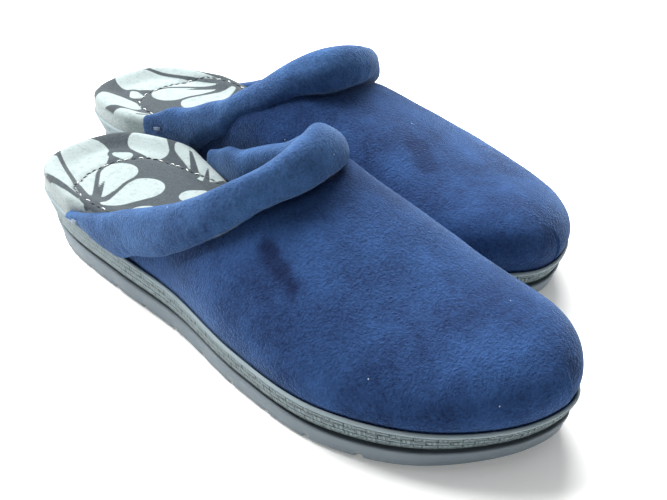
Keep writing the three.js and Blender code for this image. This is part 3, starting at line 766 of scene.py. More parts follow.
@dataclass(frozen=True)
class WovenSidewall:
    """Moulded foam band with a basket weave, a smooth lip above it and a groove below, with painted shade in
    the groove and in the weave's furrows and joints.
    """

    name: str = "midsole_eva"
    band: str = "84959a"
    lip: str = "8c9ba1"
    # painted shade for the furrows and joints of the weave
    line: str = "28363b"
    # painted shade for the recessed groove below the band
    groove: str = "1f2c33"
    cell_mm: float = 7.6
    row_mm: float = 2.3
    rib_mm: float = 1.6
    joint_mm: float = 0.3
    mottle: str = "7d8d90"

    def build(self) -> bpy.types.Material:
        """Makes the material."""
        s = Shader(self.name)
        uv = s.add("UVMap", uv_map="wall")
        along, high = (s.add("SeparateXYZ", {"Vector": uv}, axis) for axis in "XY")
        brick = s.add("TexBrick", {"Vector": uv, "Scale": 1.0, "Brick Width": self.cell_mm,
                                   "Row Height": self.row_mm, "Mortar Size": self.joint_mm,
                                   "Mortar Smooth": 0.4}, output="Fac", offset=0.5)
        turn = s.math("MULTIPLY", s.math("FLOOR", s.math("DIVIDE", high, self.row_mm)), self.cell_mm / 2)
        cell = s.math("FLOOR", s.math("DIVIDE", s.math("ADD", along, turn), self.cell_mm / 2))
        odd = s.math("ABSOLUTE", s.math("MODULO", cell, 2.0))
        wave = 2 * math.pi / self.rib_mm
        upright = s.math("SINE", s.math("MULTIPLY", along, wave))
        lying = s.math("SINE", s.math("MULTIPLY", high, wave * 1.15))
        hatch = s.number("hatch")
        pick = s.math("MAXIMUM", odd, hatch)
        ribs = s.math("ADD", s.math("MULTIPLY", upright, pick),
                      s.math("MULTIPLY", lying, s.math("SUBTRACT", 1.0, pick)))
        on = s.math("SUBTRACT", 1.0, s.number("lip"))
        # Painted shade: where the bump dips, the weave's furrows and joints take the dark line colour,
        # stronger in some dashes than in others.
        dash = s.ramp(s.add("TexNoise", {"Vector": uv, "Scale": 0.45, "Detail": 1.0}), 0.42, 0.6)
        furrow_shade_share = s.math("ADD", s.math("MULTIPLY", dash, 0.45), 0.2)
        furrow_shade = s.math("MULTIPLY", s.ramp(ribs, -0.35, -1.0), furrow_shade_share)
        joint_shade = s.math("MULTIPLY", brick, s.math("ADD", s.math("MULTIPLY", dash, 0.55), 0.45))
        joint_shade = s.math("MULTIPLY", joint_shade, s.math("SUBTRACT", 1.0, s.math("MULTIPLY", hatch, 0.6)))
        marks = s.math("MULTIPLY", s.math("MAXIMUM", furrow_shade, joint_shade), on)
        colour = s.mix(s.number("lip"), self.band, self.lip)
        colour = s.mix(s.ramp(s.noise(5.0, 3), 0.4, 0.7, 0.0, 0.25), colour, self.mottle)
        colour = s.mix(marks, colour, self.line)
        # Painted shade: the groove's lowest rings take the very dark groove colour.
        colour = s.mix(s.number("recess"), colour, self.groove)
        relief = s.math("SUBTRACT", s.ramp(ribs, -1.0, 0.6), s.math("MULTIPLY", brick, 0.8))
        height = s.math("MULTIPLY", relief, on)
        s.set(Base_Color=colour, Roughness=0.62, Specular_IOR_Level=0.35, Normal=s.bump(height, 0.7, 1.0))
        return s.material


@dataclass(frozen=True)
class Rubber:
    """Smooth moulded sole rubber, dull from handling."""

    name: str = "outsole_rubber"
    colour: str = "737f87"
    # painted shade for the tread notches and the ground edge
    tread: str = "5a666d"
    scuff: str = "6d7a82"

    def build(self) -> bpy.types.Material:
        """Makes the material."""
        s = Shader(self.name)
        scuff = s.noise(14.0, 4, 0.6)
        colour = s.mix(s.ramp(scuff, 0.4, 0.7, 0.0, 0.35), self.colour, self.scuff)
        # Painted shade: darker in the tread notches, by their depth, and on the ground edge and underside.
        colour = s.mix(s.number("tread"), colour, self.tread)
        s.set(Base_Color=colour, Roughness=s.ramp(scuff, 0.3, 0.7, 0.5, 0.66), Specular_IOR_Level=0.4,
              Normal=s.bump(s.noise(1.2, 3), 0.05))
        return s.material


@dataclass(frozen=True)
class Thread:
    """Twisted sewing thread, dark, with pale stitches where the mesh says so."""

    name: str
    colour: str
    pale: str = "e9eeea"

    def build(self) -> bpy.types.Material:
        """Makes the material."""
        s = Shader(self.name)
        fibre = s.noise(0.35, 2)
        s.set(Base_Color=s.mix(s.number("pale"), self.colour, self.pale), Roughness=0.8, Sheen_Weight=0.2,
              Normal=s.bump(fibre, 0.08))
        return s.material


class Wardrobe:
    """All finishes of the pair, each made once."""

    def __init__(self) -> None:
        """Builds every material."""
        self.velour = Velour().build()
        # Painted light: the roll's velour is a lighter copy of the vamp's velour, standing in for the
        # brighter light on the roll.
        self.roll_velour_painted_light = Velour("velour_roll", "466b9d", "182a4e").build()
        self.felt = PrintedFelt().build()
        self.sidewall = WovenSidewall().build()
        self.rubber = Rubber().build()
        self.lining = Plain("navy_lining_knit", "1d2b55", 0.95, 0.15, 0.8).build()
        self.foam = Plain("open_cell_foam", "d9d6c6", 0.95, 0.1, 1.2).build()
        self.board = Plain("cellulose_insole_board", "b49a74", 0.9, 0.08, 1.5).build()
        self.puff = Plain("thermoplastic_toe_puff", "e4e2da", 0.55, 0.04, 6.0).build()
        self.dark_thread = Thread("dark_sewing_thread", "27333c").build()
        self.pale_thread = Thread("pale_sewing_thread", "55657e", "6f7f96").build()


# ------------------------------------------------------------------ sub-assemblies
@dataclass
class Build:
    """What every sub-assembly of one slipper needs: its foot, last, placing and finishes."""

    foot: Foot
    last: Last
    place: Placer
    wardrobe: Wardrobe

    @property
    def body(self) -> str:
        """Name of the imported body."""
        return f"{self.foot.value}_slipper"

    def name(self, part: str) -> str:
        """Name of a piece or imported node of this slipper."""
        return f"{self.foot.value}_{part}"

    def settle(self, piece: bpy.types.Object, part: str, material: bpy.types.Material) -> None:
        """Finishes a piece: its material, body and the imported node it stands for.

        Args:
            piece: The new object.
            part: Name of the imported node, without the foot.
            material: Its finish.
        """
        piece.data.materials.clear()
        piece.data.materials.append(material)
        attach(piece, self.body)
        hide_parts(self.name(part))
        LOG.info("%s: %d vertices, for %s", piece.name, len(piece.data.vertices), self.name(part))

    def repaint(self, part: str, material: bpy.types.Material) -> None:
        """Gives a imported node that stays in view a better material."""
        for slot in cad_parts[self.name(part)].material_slots:
            slot.material = material
        LOG.info("%s: repainted", self.name(part))


class RimRing:
    """Points round the sole's rim, heel to toe on the outer side and back on the inner one."""

    def __init__(self, last: Last, half: int) -> None:
        """Lays out the ring.

        Args:
            last: The form it follows.
            half: Cells along each side.
        """
        self.last, self.half, self.count = last, half, 2 * half
        sides = last.sides()
        outer = resample(sides[Side.OUTER], half + 1)
        inner = resample(sides[Side.INNER], half + 1)
        self.points = np.vstack([outer, inner[-2:0:-1]])
        along = unit(np.roll(self.points, -1, axis=0) - np.roll(self.points, 1, axis=0))
        self.inward = np.stack([-along[:, 1], along[:, 0]], axis=1)
        self.x = self.points[:, 0]
        step = np.linalg.norm(np.roll(self.points, -1, axis=0) - self.points, axis=1)
        self.run = np.concatenate([[0], np.cumsum(step)[:-1]])
        self.length = float(step.sum())

    def at(self, inset: Array | float, height: Array | float) -> Array:
        """The ring moved inwards, at a height.

        Args:
            inset: How far in, one number or one for each point.
            height: Height above the ground, likewise.

        Returns:
            An array of (x, y, z).
        """
        flat = self.points + self.inward * np.broadcast_to(inset, self.count)[:, None]
        return np.column_stack([flat, np.broadcast_to(height, self.count)])


def wall_map(piece: bpy.types.Object, ring: RimRing, rings: int, heights: Array) -> None:
    """Adds a UV map in millimetres: run round the rim, and height up the wall.

    Args:
        piece: A wall made by extruded_wall.
        ring: The ring it follows.
        rings: How many rings it has.
        heights: Height of each ring above the wall's foot.
    """
    mesh = piece.data
    loops = np.empty(len(mesh.loops), np.int32)
    mesh.loops.foreach_get("vertex_index", loops)
    column = np.empty(len(mesh.vertices), np.int32)
    mesh.attributes["column"].data.foreach_get("value", column)
    level = np.minimum(np.arange(len(mesh.vertices)) // ring.count, rings - 1)
    starts = np.empty(len(mesh.polygons), np.int32)
    sizes = np.empty(len(mesh.polygons), np.int32)
    mesh.polygons.foreach_get("loop_start", starts)
    mesh.polygons.foreach_get("loop_total", sizes)
    run = ring.run[column[loops]].copy()
    widest = np.repeat(np.maximum.reduceat(run, starts), sizes)
    run[(widest - run) > ring.length / 2] += ring.length
    layer = mesh.uv_layers.new(name="wall")
    layer.data.foreach_set("uv", np.column_stack([run, heights[level[loops]]]).astype(np.float32).ravel())


@dataclass
class Outsole:
    """The rubber outsole with its small tread notches along the ground edge."""

    half: int = 330
    notch_pitch: float = 20.0
    notch_width: float = 2.6
    notch_depth: float = 1.5
    notch_height: float = 1.5
    edge_round: float = 0.8
    return_width: float = 6.0

    def build(self, b: Build) -> bpy.types.Object:
        """Draws the wall up from the ground edge and closes both ends."""
        last, ring = b.last, RimRing(b.last, self.half)
        x = ring.x
        starts = np.arange(0.14 * last.length, 0.9 * last.length, self.notch_pitch)
        away = np.abs(x[:, None] - (starts + self.notch_width / 2)[None, :]).min(axis=1)
        cut = self.notch_depth * (1 - smooth(away, self.notch_width / 2 - 0.7, self.notch_width / 2 + 0.1))
        low = self.notch_height / last.heel_height
        ground, top = last.ground(x), last.level(x, last.outsole_share)
        wall = last.wall_inset(x, last.outsole_share)
        foot = last.wall_inset(x, 0)
        lift = last.wall_inset(x, low)
        rings = [
            ring.at(foot + self.edge_round + 4, ground + 0.02),
            ring.at(foot + self.edge_round + cut, ground),
            ring.at(foot + 0.25 + cut, ground + 0.35),
            ring.at(lift + cut, ground + 0.9),
            ring.at(lift + cut, ground + self.notch_height),
            ring.at(lift, ground + self.notch_height + 0.4),
            ring.at((lift + wall) / 2, (ground + self.notch_height + top) / 2),
            ring.at(wall, top - 0.7),
            ring.at(wall + 0.2, top - 0.2),
            ring.at(wall + 0.7, top),
            ring.at(wall + self.return_width, top),
        ]
        piece = extruded_wall(b.name("outsole_rubber"), [b.place(r) for r in rings])
        # Mask for the painted shade: the notches by their depth in the rings up to the notch top, and the
        # two lowest rings, at the ground edge and underside, in full.
        tread = np.zeros(len(piece.data.vertices))
        tread[: 5 * ring.count] = np.tile(cut / self.notch_depth, 5)
        tread[: 2 * ring.count] = 1.0
        float_attribute(piece, "tread", tread)
        return piece

    def dress(self, b: Build, piece: bpy.types.Object) -> None:
        """Finishes it as rubber."""
        b.settle(piece, "outsole", b.wardrobe.rubber)


@dataclass
class Midsole:
    """The moulded midsole: groove, woven band, smooth lip and the cup that holds the upper."""

    half: int = 330
    gap: float = 0.3
    groove_height: float = 1.8
    groove_depth: float = 2.2
    lip_band: float = 1.5
    lip_proud: float = 0.35
    lip_width: float = 1.1
    return_width: float = 6.0
    lip_ring: int = 9
    recess_ring: int = 3
    band_ring: int = 5
    hatch_from: float = 115.0
    hatch_to: float = 60.0

    def build(self, b: Build) -> bpy.types.Object:
        """Draws the wall up from the groove, over the lip and down into the cup."""
        last, ring = b.last, RimRing(b.last, self.half)
        x = ring.x
        foot = last.level(x, last.outsole_share)
        wall = last.wall_inset(x, last.outsole_share)
        rim = last.rim(x)
        shoulder = foot + self.groove_height
        band_top = rim - self.lip_band
        seats = [
            (wall + self.groove_depth + 4, foot + self.gap), (wall + self.groove_depth, foot + self.gap),
            (wall + self.groove_depth, shoulder), (wall + 0.5, shoulder), (wall + 0.1, shoulder + 0.25),
            (wall, shoulder + 0.7), (wall * 0.65, shoulder + (band_top - shoulder) * 0.35),
            (wall * 0.3, shoulder + (band_top - shoulder) * 0.7), (0.15, band_top - 0.25),
            (0.22, band_top), (0.0, band_top + 0.3), (-self.lip_proud * 0.3, band_top + 0.8),
            (0.05, rim - 0.55), (0.3, rim - 0.12), (0.6, rim), (0.9, rim - 0.1),
            (self.lip_width, rim - 0.4), (self.lip_width, rim - last.lip_height),
            (self.lip_width + self.return_width, rim - last.lip_height),
        ]
        rings = [ring.at(inset, height) for inset, height in seats]
        piece = extruded_wall(b.name("midsole_moulding"), [b.place(r) for r in rings])
        count, total = ring.count, len(piece.data.vertices)
        level = np.arange(total) // count
        float_attribute(piece, "lip", (level >= self.lip_ring).astype(float))
        # Mask for the painted shade in the groove: the rings up to recess_ring.
        float_attribute(piece, "recess", (level <= self.recess_ring).astype(float))
        column = np.arange(total) % count
        float_attribute(piece, "hatch", 1 - smooth(x[column], self.hatch_to, self.hatch_from))
        mean = np.array([float(r[:, 2].mean()) for r in rings])
        wall_map(piece, ring, len(rings), mean - mean[self.band_ring])
        return piece

    def dress(self, b: Build, piece: bpy.types.Object) -> None:
        """Finishes it as moulded foam."""
        b.settle(piece, "midsole", b.wardrobe.sidewall)


@dataclass(frozen=True)
class Petal:
    """A rounded petal of the print: a narrow end, a wide end and their radii, in millimetres."""

    x0: float
    y0: float
    x1: float
    y1: float
    narrow: float
    wide: float

    def distance(self, p: Array) -> Array:
        """Signed distance of points to the petal's edge, negative inside.

        Args:
            p: Points in plan.

        Returns:
            One distance for each point.
        """
        a, b = np.array([self.x0, self.y0]), np.array([self.x1, self.y1])
        axis = b - a
        h = float(np.hypot(*axis))
        axis = axis / h
        rel = p - a
        v = rel @ axis
        u = np.abs(rel @ np.array([-axis[1], axis[0]]))
        s = (self.narrow - self.wide) / h
        c = math.sqrt(max(1 - s * s, 1e-6))
        past = v * c - u * s
        body = u * c + v * s - self.narrow
        low = np.hypot(u, v) - self.narrow
        high = np.hypot(u, v - h) - self.wide
        return np.where(past < 0, low, np.where(past > c * h, high, body))


PETALS = (
    Petal(52, -25, 14, -1, 1.5, 10.5), Petal(56, -27, 11, -19, 1.0, 5.5), Petal(55, -22, 38, -2, 2.0, 9.5),
    Petal(60, -22, 58, -3, 2.5, 9.5), Petal(36, 22, 24, 25, 5.0, 8.5), Petal(21, 8, 27, 11, 1.2, 3.2),
    Petal(46, 35, 70, 27, 9.0, 9.0), Petal(80, 10, 78, 7, 4.0, 5.0), Petal(97, 22, 93, 7, 4.0, 8.0),
    Petal(60, -31, 31, -30, 1.0, 3.6), Petal(90, -26, 77, -16, 3.0, 7.5), Petal(106, -8, 102, -22, 4.0, 8.0),
    Petal(5, 15, 8, 20, 1.0, 1.8), Petal(114, 16, 120, 4, 5.0, 8.0), Petal(96, -8, 92, -3, 1.5, 3.0),
)
LEAVES = (
    Petal(58, -28, 41, -10, 2.8, 0.4), Petal(58, -28, 51, -11, 2.4, 0.3), Petal(58, -28, 38, -22, 2.2, 0.4),
    Petal(57, -27, 12, -13, 1.9, 0.6), Petal(50, -28, 10, -25, 1.3, 1.1), Petal(66, 19, 46, 32, 1.9, 0.3),
    Petal(74, 18, 66, 26, 1.6, 0.3), Petal(60, -30, 74, -24, 1.3, 0.4),
)


@dataclass
class Footbed:
    """The felt-covered footbed with its print and its row of stitches."""

    half: int = 250
    inward_rings: int = 30
    edge_gap: float = 0.6
    inside_gap: float = 8.1
    shoulder: float = 4.0
    rise: float = 6.0
    edge_rise: float = 3.2
    edge_width: float = 14.0
    core: float = 28.0
    inset_from: float = 46.0
    inset_run: float = 36.0
    groove_width: float = 1.5
    groove_depth: float = 0.55
    stitch: float = 2.6
    stitch_gap: float = 0.8
    thread: float = 0.24
    pale_share: float = 0.55
    stitch_line: tuple = (
        (0.34, -0.27), (0.22, -0.31), (0.155, -0.28), (0.122, -0.17), (0.108, 0.0), (0.125, 0.16),
        (0.165, 0.225), (0.24, 0.24), (0.34, 0.25),
    )

    def inset(self, x: Array) -> Array:
        """How far the footbed's edge is inside the rim at x."""
        share = np.clip((x - self.inset_from) / self.inset_run, 0, 1)
        return self.edge_gap + (self.inside_gap - self.edge_gap) * share

    def top(self, last: Last, x: Array, distance: Array) -> Array:
        """Height of the felt at x, a distance in from its edge."""
        n = last.length
        cup = 1 - smooth(x, 0.16 * n, 0.4 * n)
        edge = 1 - smooth(distance, 3, self.edge_width)
        return last.rim(x) + self.rise - smooth(x, 0.3 * n, 0.7 * n) * 2 + cup * self.edge_rise * edge

    def line(self, last: Last) -> Array:
        """The stitched line in plan, with the slight wander of real sewing."""
        path = resample(spline(np.array(self.stitch_line) * (last.length, last.width), 400), 700)
        run = np.arange(len(path))
        wander = 0.28 * np.sin(run * 0.31) + 0.2 * np.sin(run * 0.083 + 1)
        along = unit(np.gradient(path, axis=0))
        return path + wander[:, None] * np.stack([-along[:, 1], along[:, 0]], axis=1)

    def build(self, b: Build) -> bpy.types.Object:
        """Makes the felt from rings that run in from its edge to the middle line."""
        last, ring = b.last, RimRing(b.last, self.half)
        x, n = ring.x, ring.count
        gap = self.inset(x)
        foot = last.rim(x) - last.lip_height + last.feather_lift
        skirt = [(np.maximum(gap, 1.4), foot), (gap + 0.05, foot + 1.2), (gap, self.top(last, x, 0) - 3.2),
                 (gap + 0.35, self.top(last, x, 0) - 1.9), (gap + 1.2, self.top(last, x, 1.5) - 1.0),
                 (gap + 2.4, self.top(last, x, 2.4) - 0.35)]
        rings = [ring.at(i, h) for i, h in skirt]
        edge = ring.at(gap + self.shoulder, 0)
        pair = (n - np.arange(n)) % n
        mean_x = np.clip((edge[:, 0] + edge[pair, 0]) / 2, x.min() + self.core, x.max() - self.core)
        sides = last.sides()
        mid_y = sum(np.interp(mean_x, p[:, 0], p[:, 1]) for p in sides.values()) / 2
        for k in range(self.inward_rings + 1):
            share = k / self.inward_rings
            flat = edge[:, :2] * (1 - share) + np.column_stack([mean_x, mid_y]) * share
            away = self.shoulder + np.linalg.norm(flat - edge[:, :2], axis=1)
            rings.append(np.column_stack([flat, self.top(last, flat[:, 0], away)]))
        points = np.vstack(rings)
        line = self.line(last)
        near = nearest(points[:, :2], line)
        points[:, 2] -= self.groove_depth * np.exp(-(near / self.groove_width) ** 2)
        points[:, 2] += 0.18 * lumps(points, 26, 2.0)
        piece = new_object(b.name("printed_felt_footbed"), b.place(points), ring_faces(len(rings), n))
        local = b.place.back(vertices_of(piece))
        self.paint(piece, local, line, last)
        return piece

    def paint(self, piece: bpy.types.Object, p: Array, line: Array, last: Last) -> None:
        """Stores the print, the cut edge and the painted shade of the sewn groove on the mesh."""
        float_attribute(piece, "print", self.printed(p[:, :2]))
        ring = RimRing(last, self.half)
        border = ring.at(self.inset(ring.x), 0)[:, :2]
        inside = nearest(p[:, :2], border)
        low = p[:, 2] < self.top(last, p[:, 0], 0) - 1.9
        float_attribute(piece, "edge", (1 - smooth(inside, 0.15, 0.6)) * low)
        # Mask for the painted shade of the sewn groove.
        float_attribute(piece, "groove", np.clip(1 - nearest(p[:, :2], line) / 0.9, 0, 1))

    def printed(self, p: Array) -> Array:
        """The print at points in plan: below 0 pale, above 0 charcoal, in millimetres."""
        flower = np.sort(np.stack([petal.distance(p) for petal in PETALS]), axis=0)
        gaps = np.maximum(flower[0], 0.95 - (flower[1] - flower[0]) * 0.5)
        leaves = np.stack([leaf.distance(p) for leaf in LEAVES]).min(axis=0)
        return np.maximum(gaps, -leaves)

    def stitches(self, b: Build) -> bpy.types.Object:
        """Sews the row of stitches along the groove."""
        line = self.line(b.last)
        sides = b.last.sides()
        lateral = np.interp(line[:, 0], sides[Side.OUTER][:, 0], sides[Side.OUTER][:, 1])
        medial = np.interp(line[:, 0], sides[Side.INNER][:, 0], sides[Side.INNER][:, 1])
        edge = np.where(line[:, 1] < 0, line[:, 1] - lateral, medial - line[:, 1])
        away = np.maximum(np.minimum(edge, line[:, 0]) - self.inset(line[:, 0]), 0)
        path = np.column_stack([line, self.top(b.last, line[:, 0], away) - self.groove_depth + 0.25])
        rows, shares = dashes(path, self.stitch, self.stitch_gap, 0.35)
        shown = [float(self.printed(row[:1, :2])[0] > 0 and share < self.pale_share)
                 for row, share in zip(rows, shares)]
        return thread_object(b, "footbed_thread", rows, self.thread, shown)

    def dress(self, b: Build, felt: bpy.types.Object, thread: bpy.types.Object) -> None:
        """Finishes the felt and its thread, and the hidden board and foam."""
        b.settle(felt, "footbed_cover", b.wardrobe.felt)
        b.settle(thread, "footbed_stitching", b.wardrobe.dark_thread)
        b.repaint("insole_board", b.wardrobe.board)
        b.repaint("footbed_foam", b.wardrobe.foam)


def dashes(path: Array, length: float, gap: float, dip: float) -> tuple:
    """Cuts a path into stitches that dip into the cloth at both ends.

    Args:
        path: Points along the seam in millimetres.
        length: Length of a stitch.
        gap: Space between two stitches.
        dip: How far the ends go down.

    Returns:
        One array of points for each stitch, and a steady share from 0 to 1 for each.
    """
    run = np.concatenate([[0], np.cumsum(np.linalg.norm(np.diff(path, axis=0), axis=1))])
    rows, shares = [], []
    for k, start in enumerate(np.arange(gap, run[-1] - length, length + gap)):
        at = np.linspace(start, start + length, 6)
        row = np.stack([np.interp(at, run, path[:, i]) for i in range(3)], axis=1)
        row[:, 2] -= dip * np.abs(np.linspace(-1, 1, 6)) ** 3
        rows.append(row)
        shares.append((k * 0.618034) % 1)
    return rows, shares


def thread_object(b: Build, part: str, rows: Sequence[Array], radius: float,
                  pale: Sequence[float]) -> bpy.types.Object:
    """One object of many short threads.

    Args:
        b: The slipper it belongs to.
        part: Name of the piece, without the foot.
        rows: Centre points of each thread in millimetres.
        radius: Radius of the thread.
        pale: How pale each thread is.

    Returns:
        The new object.
    """
    sides, points, faces, tone = 6, [], [], []
    turn = np.linspace(0, 2 * math.pi, sides, endpoint=False)
    for row, light in zip(rows, pale):
        along = unit(np.gradient(row, axis=0))
        side = unit(np.cross(along, [0.0, 0.02, 1.0]))
        up = np.cross(side, along)
        size = radius * np.sqrt(np.clip(1 - np.linspace(-0.97, 0.97, len(row)) ** 4, 0.05, 1))
        first = len(points)
        for centre, s, u, r in zip(row, side, up, size):
            points.extend(centre + r * (math.cos(t) * s + math.sin(t) * u) for t in turn)
        faces.extend(ring_faces(len(row), sides, first))
        faces.append(tuple(range(first, first + sides)))
        faces.append(tuple(range(len(points) - sides, len(points)))[::-1])
        tone.extend([light] * (len(points) - first))
    piece = new_object(b.name(part), b.place(np.array(points)), faces)
    if len(tone) == len(piece.data.vertices):
        float_attribute(piece, "pale", tone)
    return piece


@dataclass
class Upper:
    """The velour vamp and the knitted lining under it."""

    thickness: float = 2.4
    lining_depth: float = 4.2
    lining_thickness: float = 1.0
    back: int = 46
    front: int = 96
    across: int = 44
    wave_depth: float = 0.32
    ripple_depth: float = 0.12
    pressed_depth: float = 0.3
    crease_depth: float = 0.9
    crease_width: float = 4.0
    marks: tuple = ((160.5, -25.5, 178.0, -29.5, 3.2), (197.0, 10.0, 207.0, 17.0, 5.0))

    def shell(self, b: Build, name: str, depth: float, thickness: float,
              coarse: int, drape: bool) -> bpy.types.Object:
        """One layer of the upper as a sheet with thickness.

        Args:
            b: The slipper it belongs to.
            name: Name of the piece, without the foot.
            depth: How far below the velour's face it lies.
            thickness: Its thickness.
            coarse: Divides the number of cells.
            drape: Whether it has the unevenness of the face fabric.

        Returns:
            The new object.
        """
        cells = [count // coarse for count in (self.back, self.front, self.across)]
        outer, mask = Dome(b.last, depth).grid(*cells)
        inner, _ = Dome(b.last, depth + thickness).grid(*cells)
        rows, columns = outer.shape[:2]
        if drape:
            outer = self.drape(b, outer)
        points = np.vstack([outer.reshape(-1, 3), inner.reshape(-1, 3)])
        return new_object(b.name(name), b.place(points), sheet_faces(rows, columns, mask))

    def drape(self, b: Build, grid: Array) -> Array:
        """Adds soft unevenness, and the nap pressed down at the mark.

        Args:
            b: The slipper it belongs to.
            grid: The smooth face.

        Returns:
            The uneven face.
        """
        flat = grid.reshape(-1, 3)
        middle = np.array([150.0, 5.0, 10.0])
        out = unit((flat - middle) * [0.25, 1, 1])
        rim = b.last.rim(flat[:, 0])
        free = smooth(flat[:, 2] - rim, 1.0, 12.0)
        seed = 1.0 if b.foot is Foot.RIGHT else 4.0
        waves = self.wave_depth * lumps(flat, 46, seed)
        push = free * (waves + self.ripple_depth * lumps(flat, 15, seed + 2))
        push -= self.pressed_depth * self.pressed(b, flat)
        seam = resample(Collar().seam_line(b.last)[3:-2], 300)
        push -= self.crease_depth * np.exp(-(nearest(flat, seam) / self.crease_width) ** 2)
        return (flat + out * push[:, None]).reshape(grid.shape)

    def pressed(self, b: Build, p: Array) -> Array:
        """How far the nap is pressed down at each point, from 0 to 1."""
        x0, y0, x1, y1, r = self.marks[0 if b.foot is Foot.RIGHT else 1]
        distance = Petal(x0, y0, x1, y1, r, r * 0.85).distance(p[:, :2])
        ragged = distance + 0.9 * lumps(p, 7, 3.0) + 0.5 * lumps(p, 3.1, 5.0)
        strength = 0.85 if b.foot is Foot.RIGHT else 0.5
        return strength * (1 - smooth(ragged, -1.8, 1.3)) * (p[:, 2] > 30)

    def build(self, b: Build) -> tuple:
        """Makes the vamp and the lining."""
        vamp = self.shell(b, "vamp_velour", 0.0, self.thickness, 1, True)
        local = b.place.back(vertices_of(vamp))
        float_attribute(vamp, "pressed", self.pressed(b, local))
        lining = self.shell(b, "vamp_lining_knit", self.lining_depth, self.lining_thickness, 2, False)
        return vamp, lining

    def dress(self, b: Build, vamp: bpy.types.Object, lining: bpy.types.Object) -> None:
        """Finishes both, and the hidden padding and toe puff."""
        b.settle(vamp, "vamp", b.wardrobe.velour)
        b.settle(lining, "vamp_lining", b.wardrobe.lining)
        b.repaint("vamp_padding", b.wardrobe.foam)
        b.repaint("toe_puff", b.wardrobe.puff)


TACK_SECTION = {Side.OUTER: 1, Side.INNER: -2}


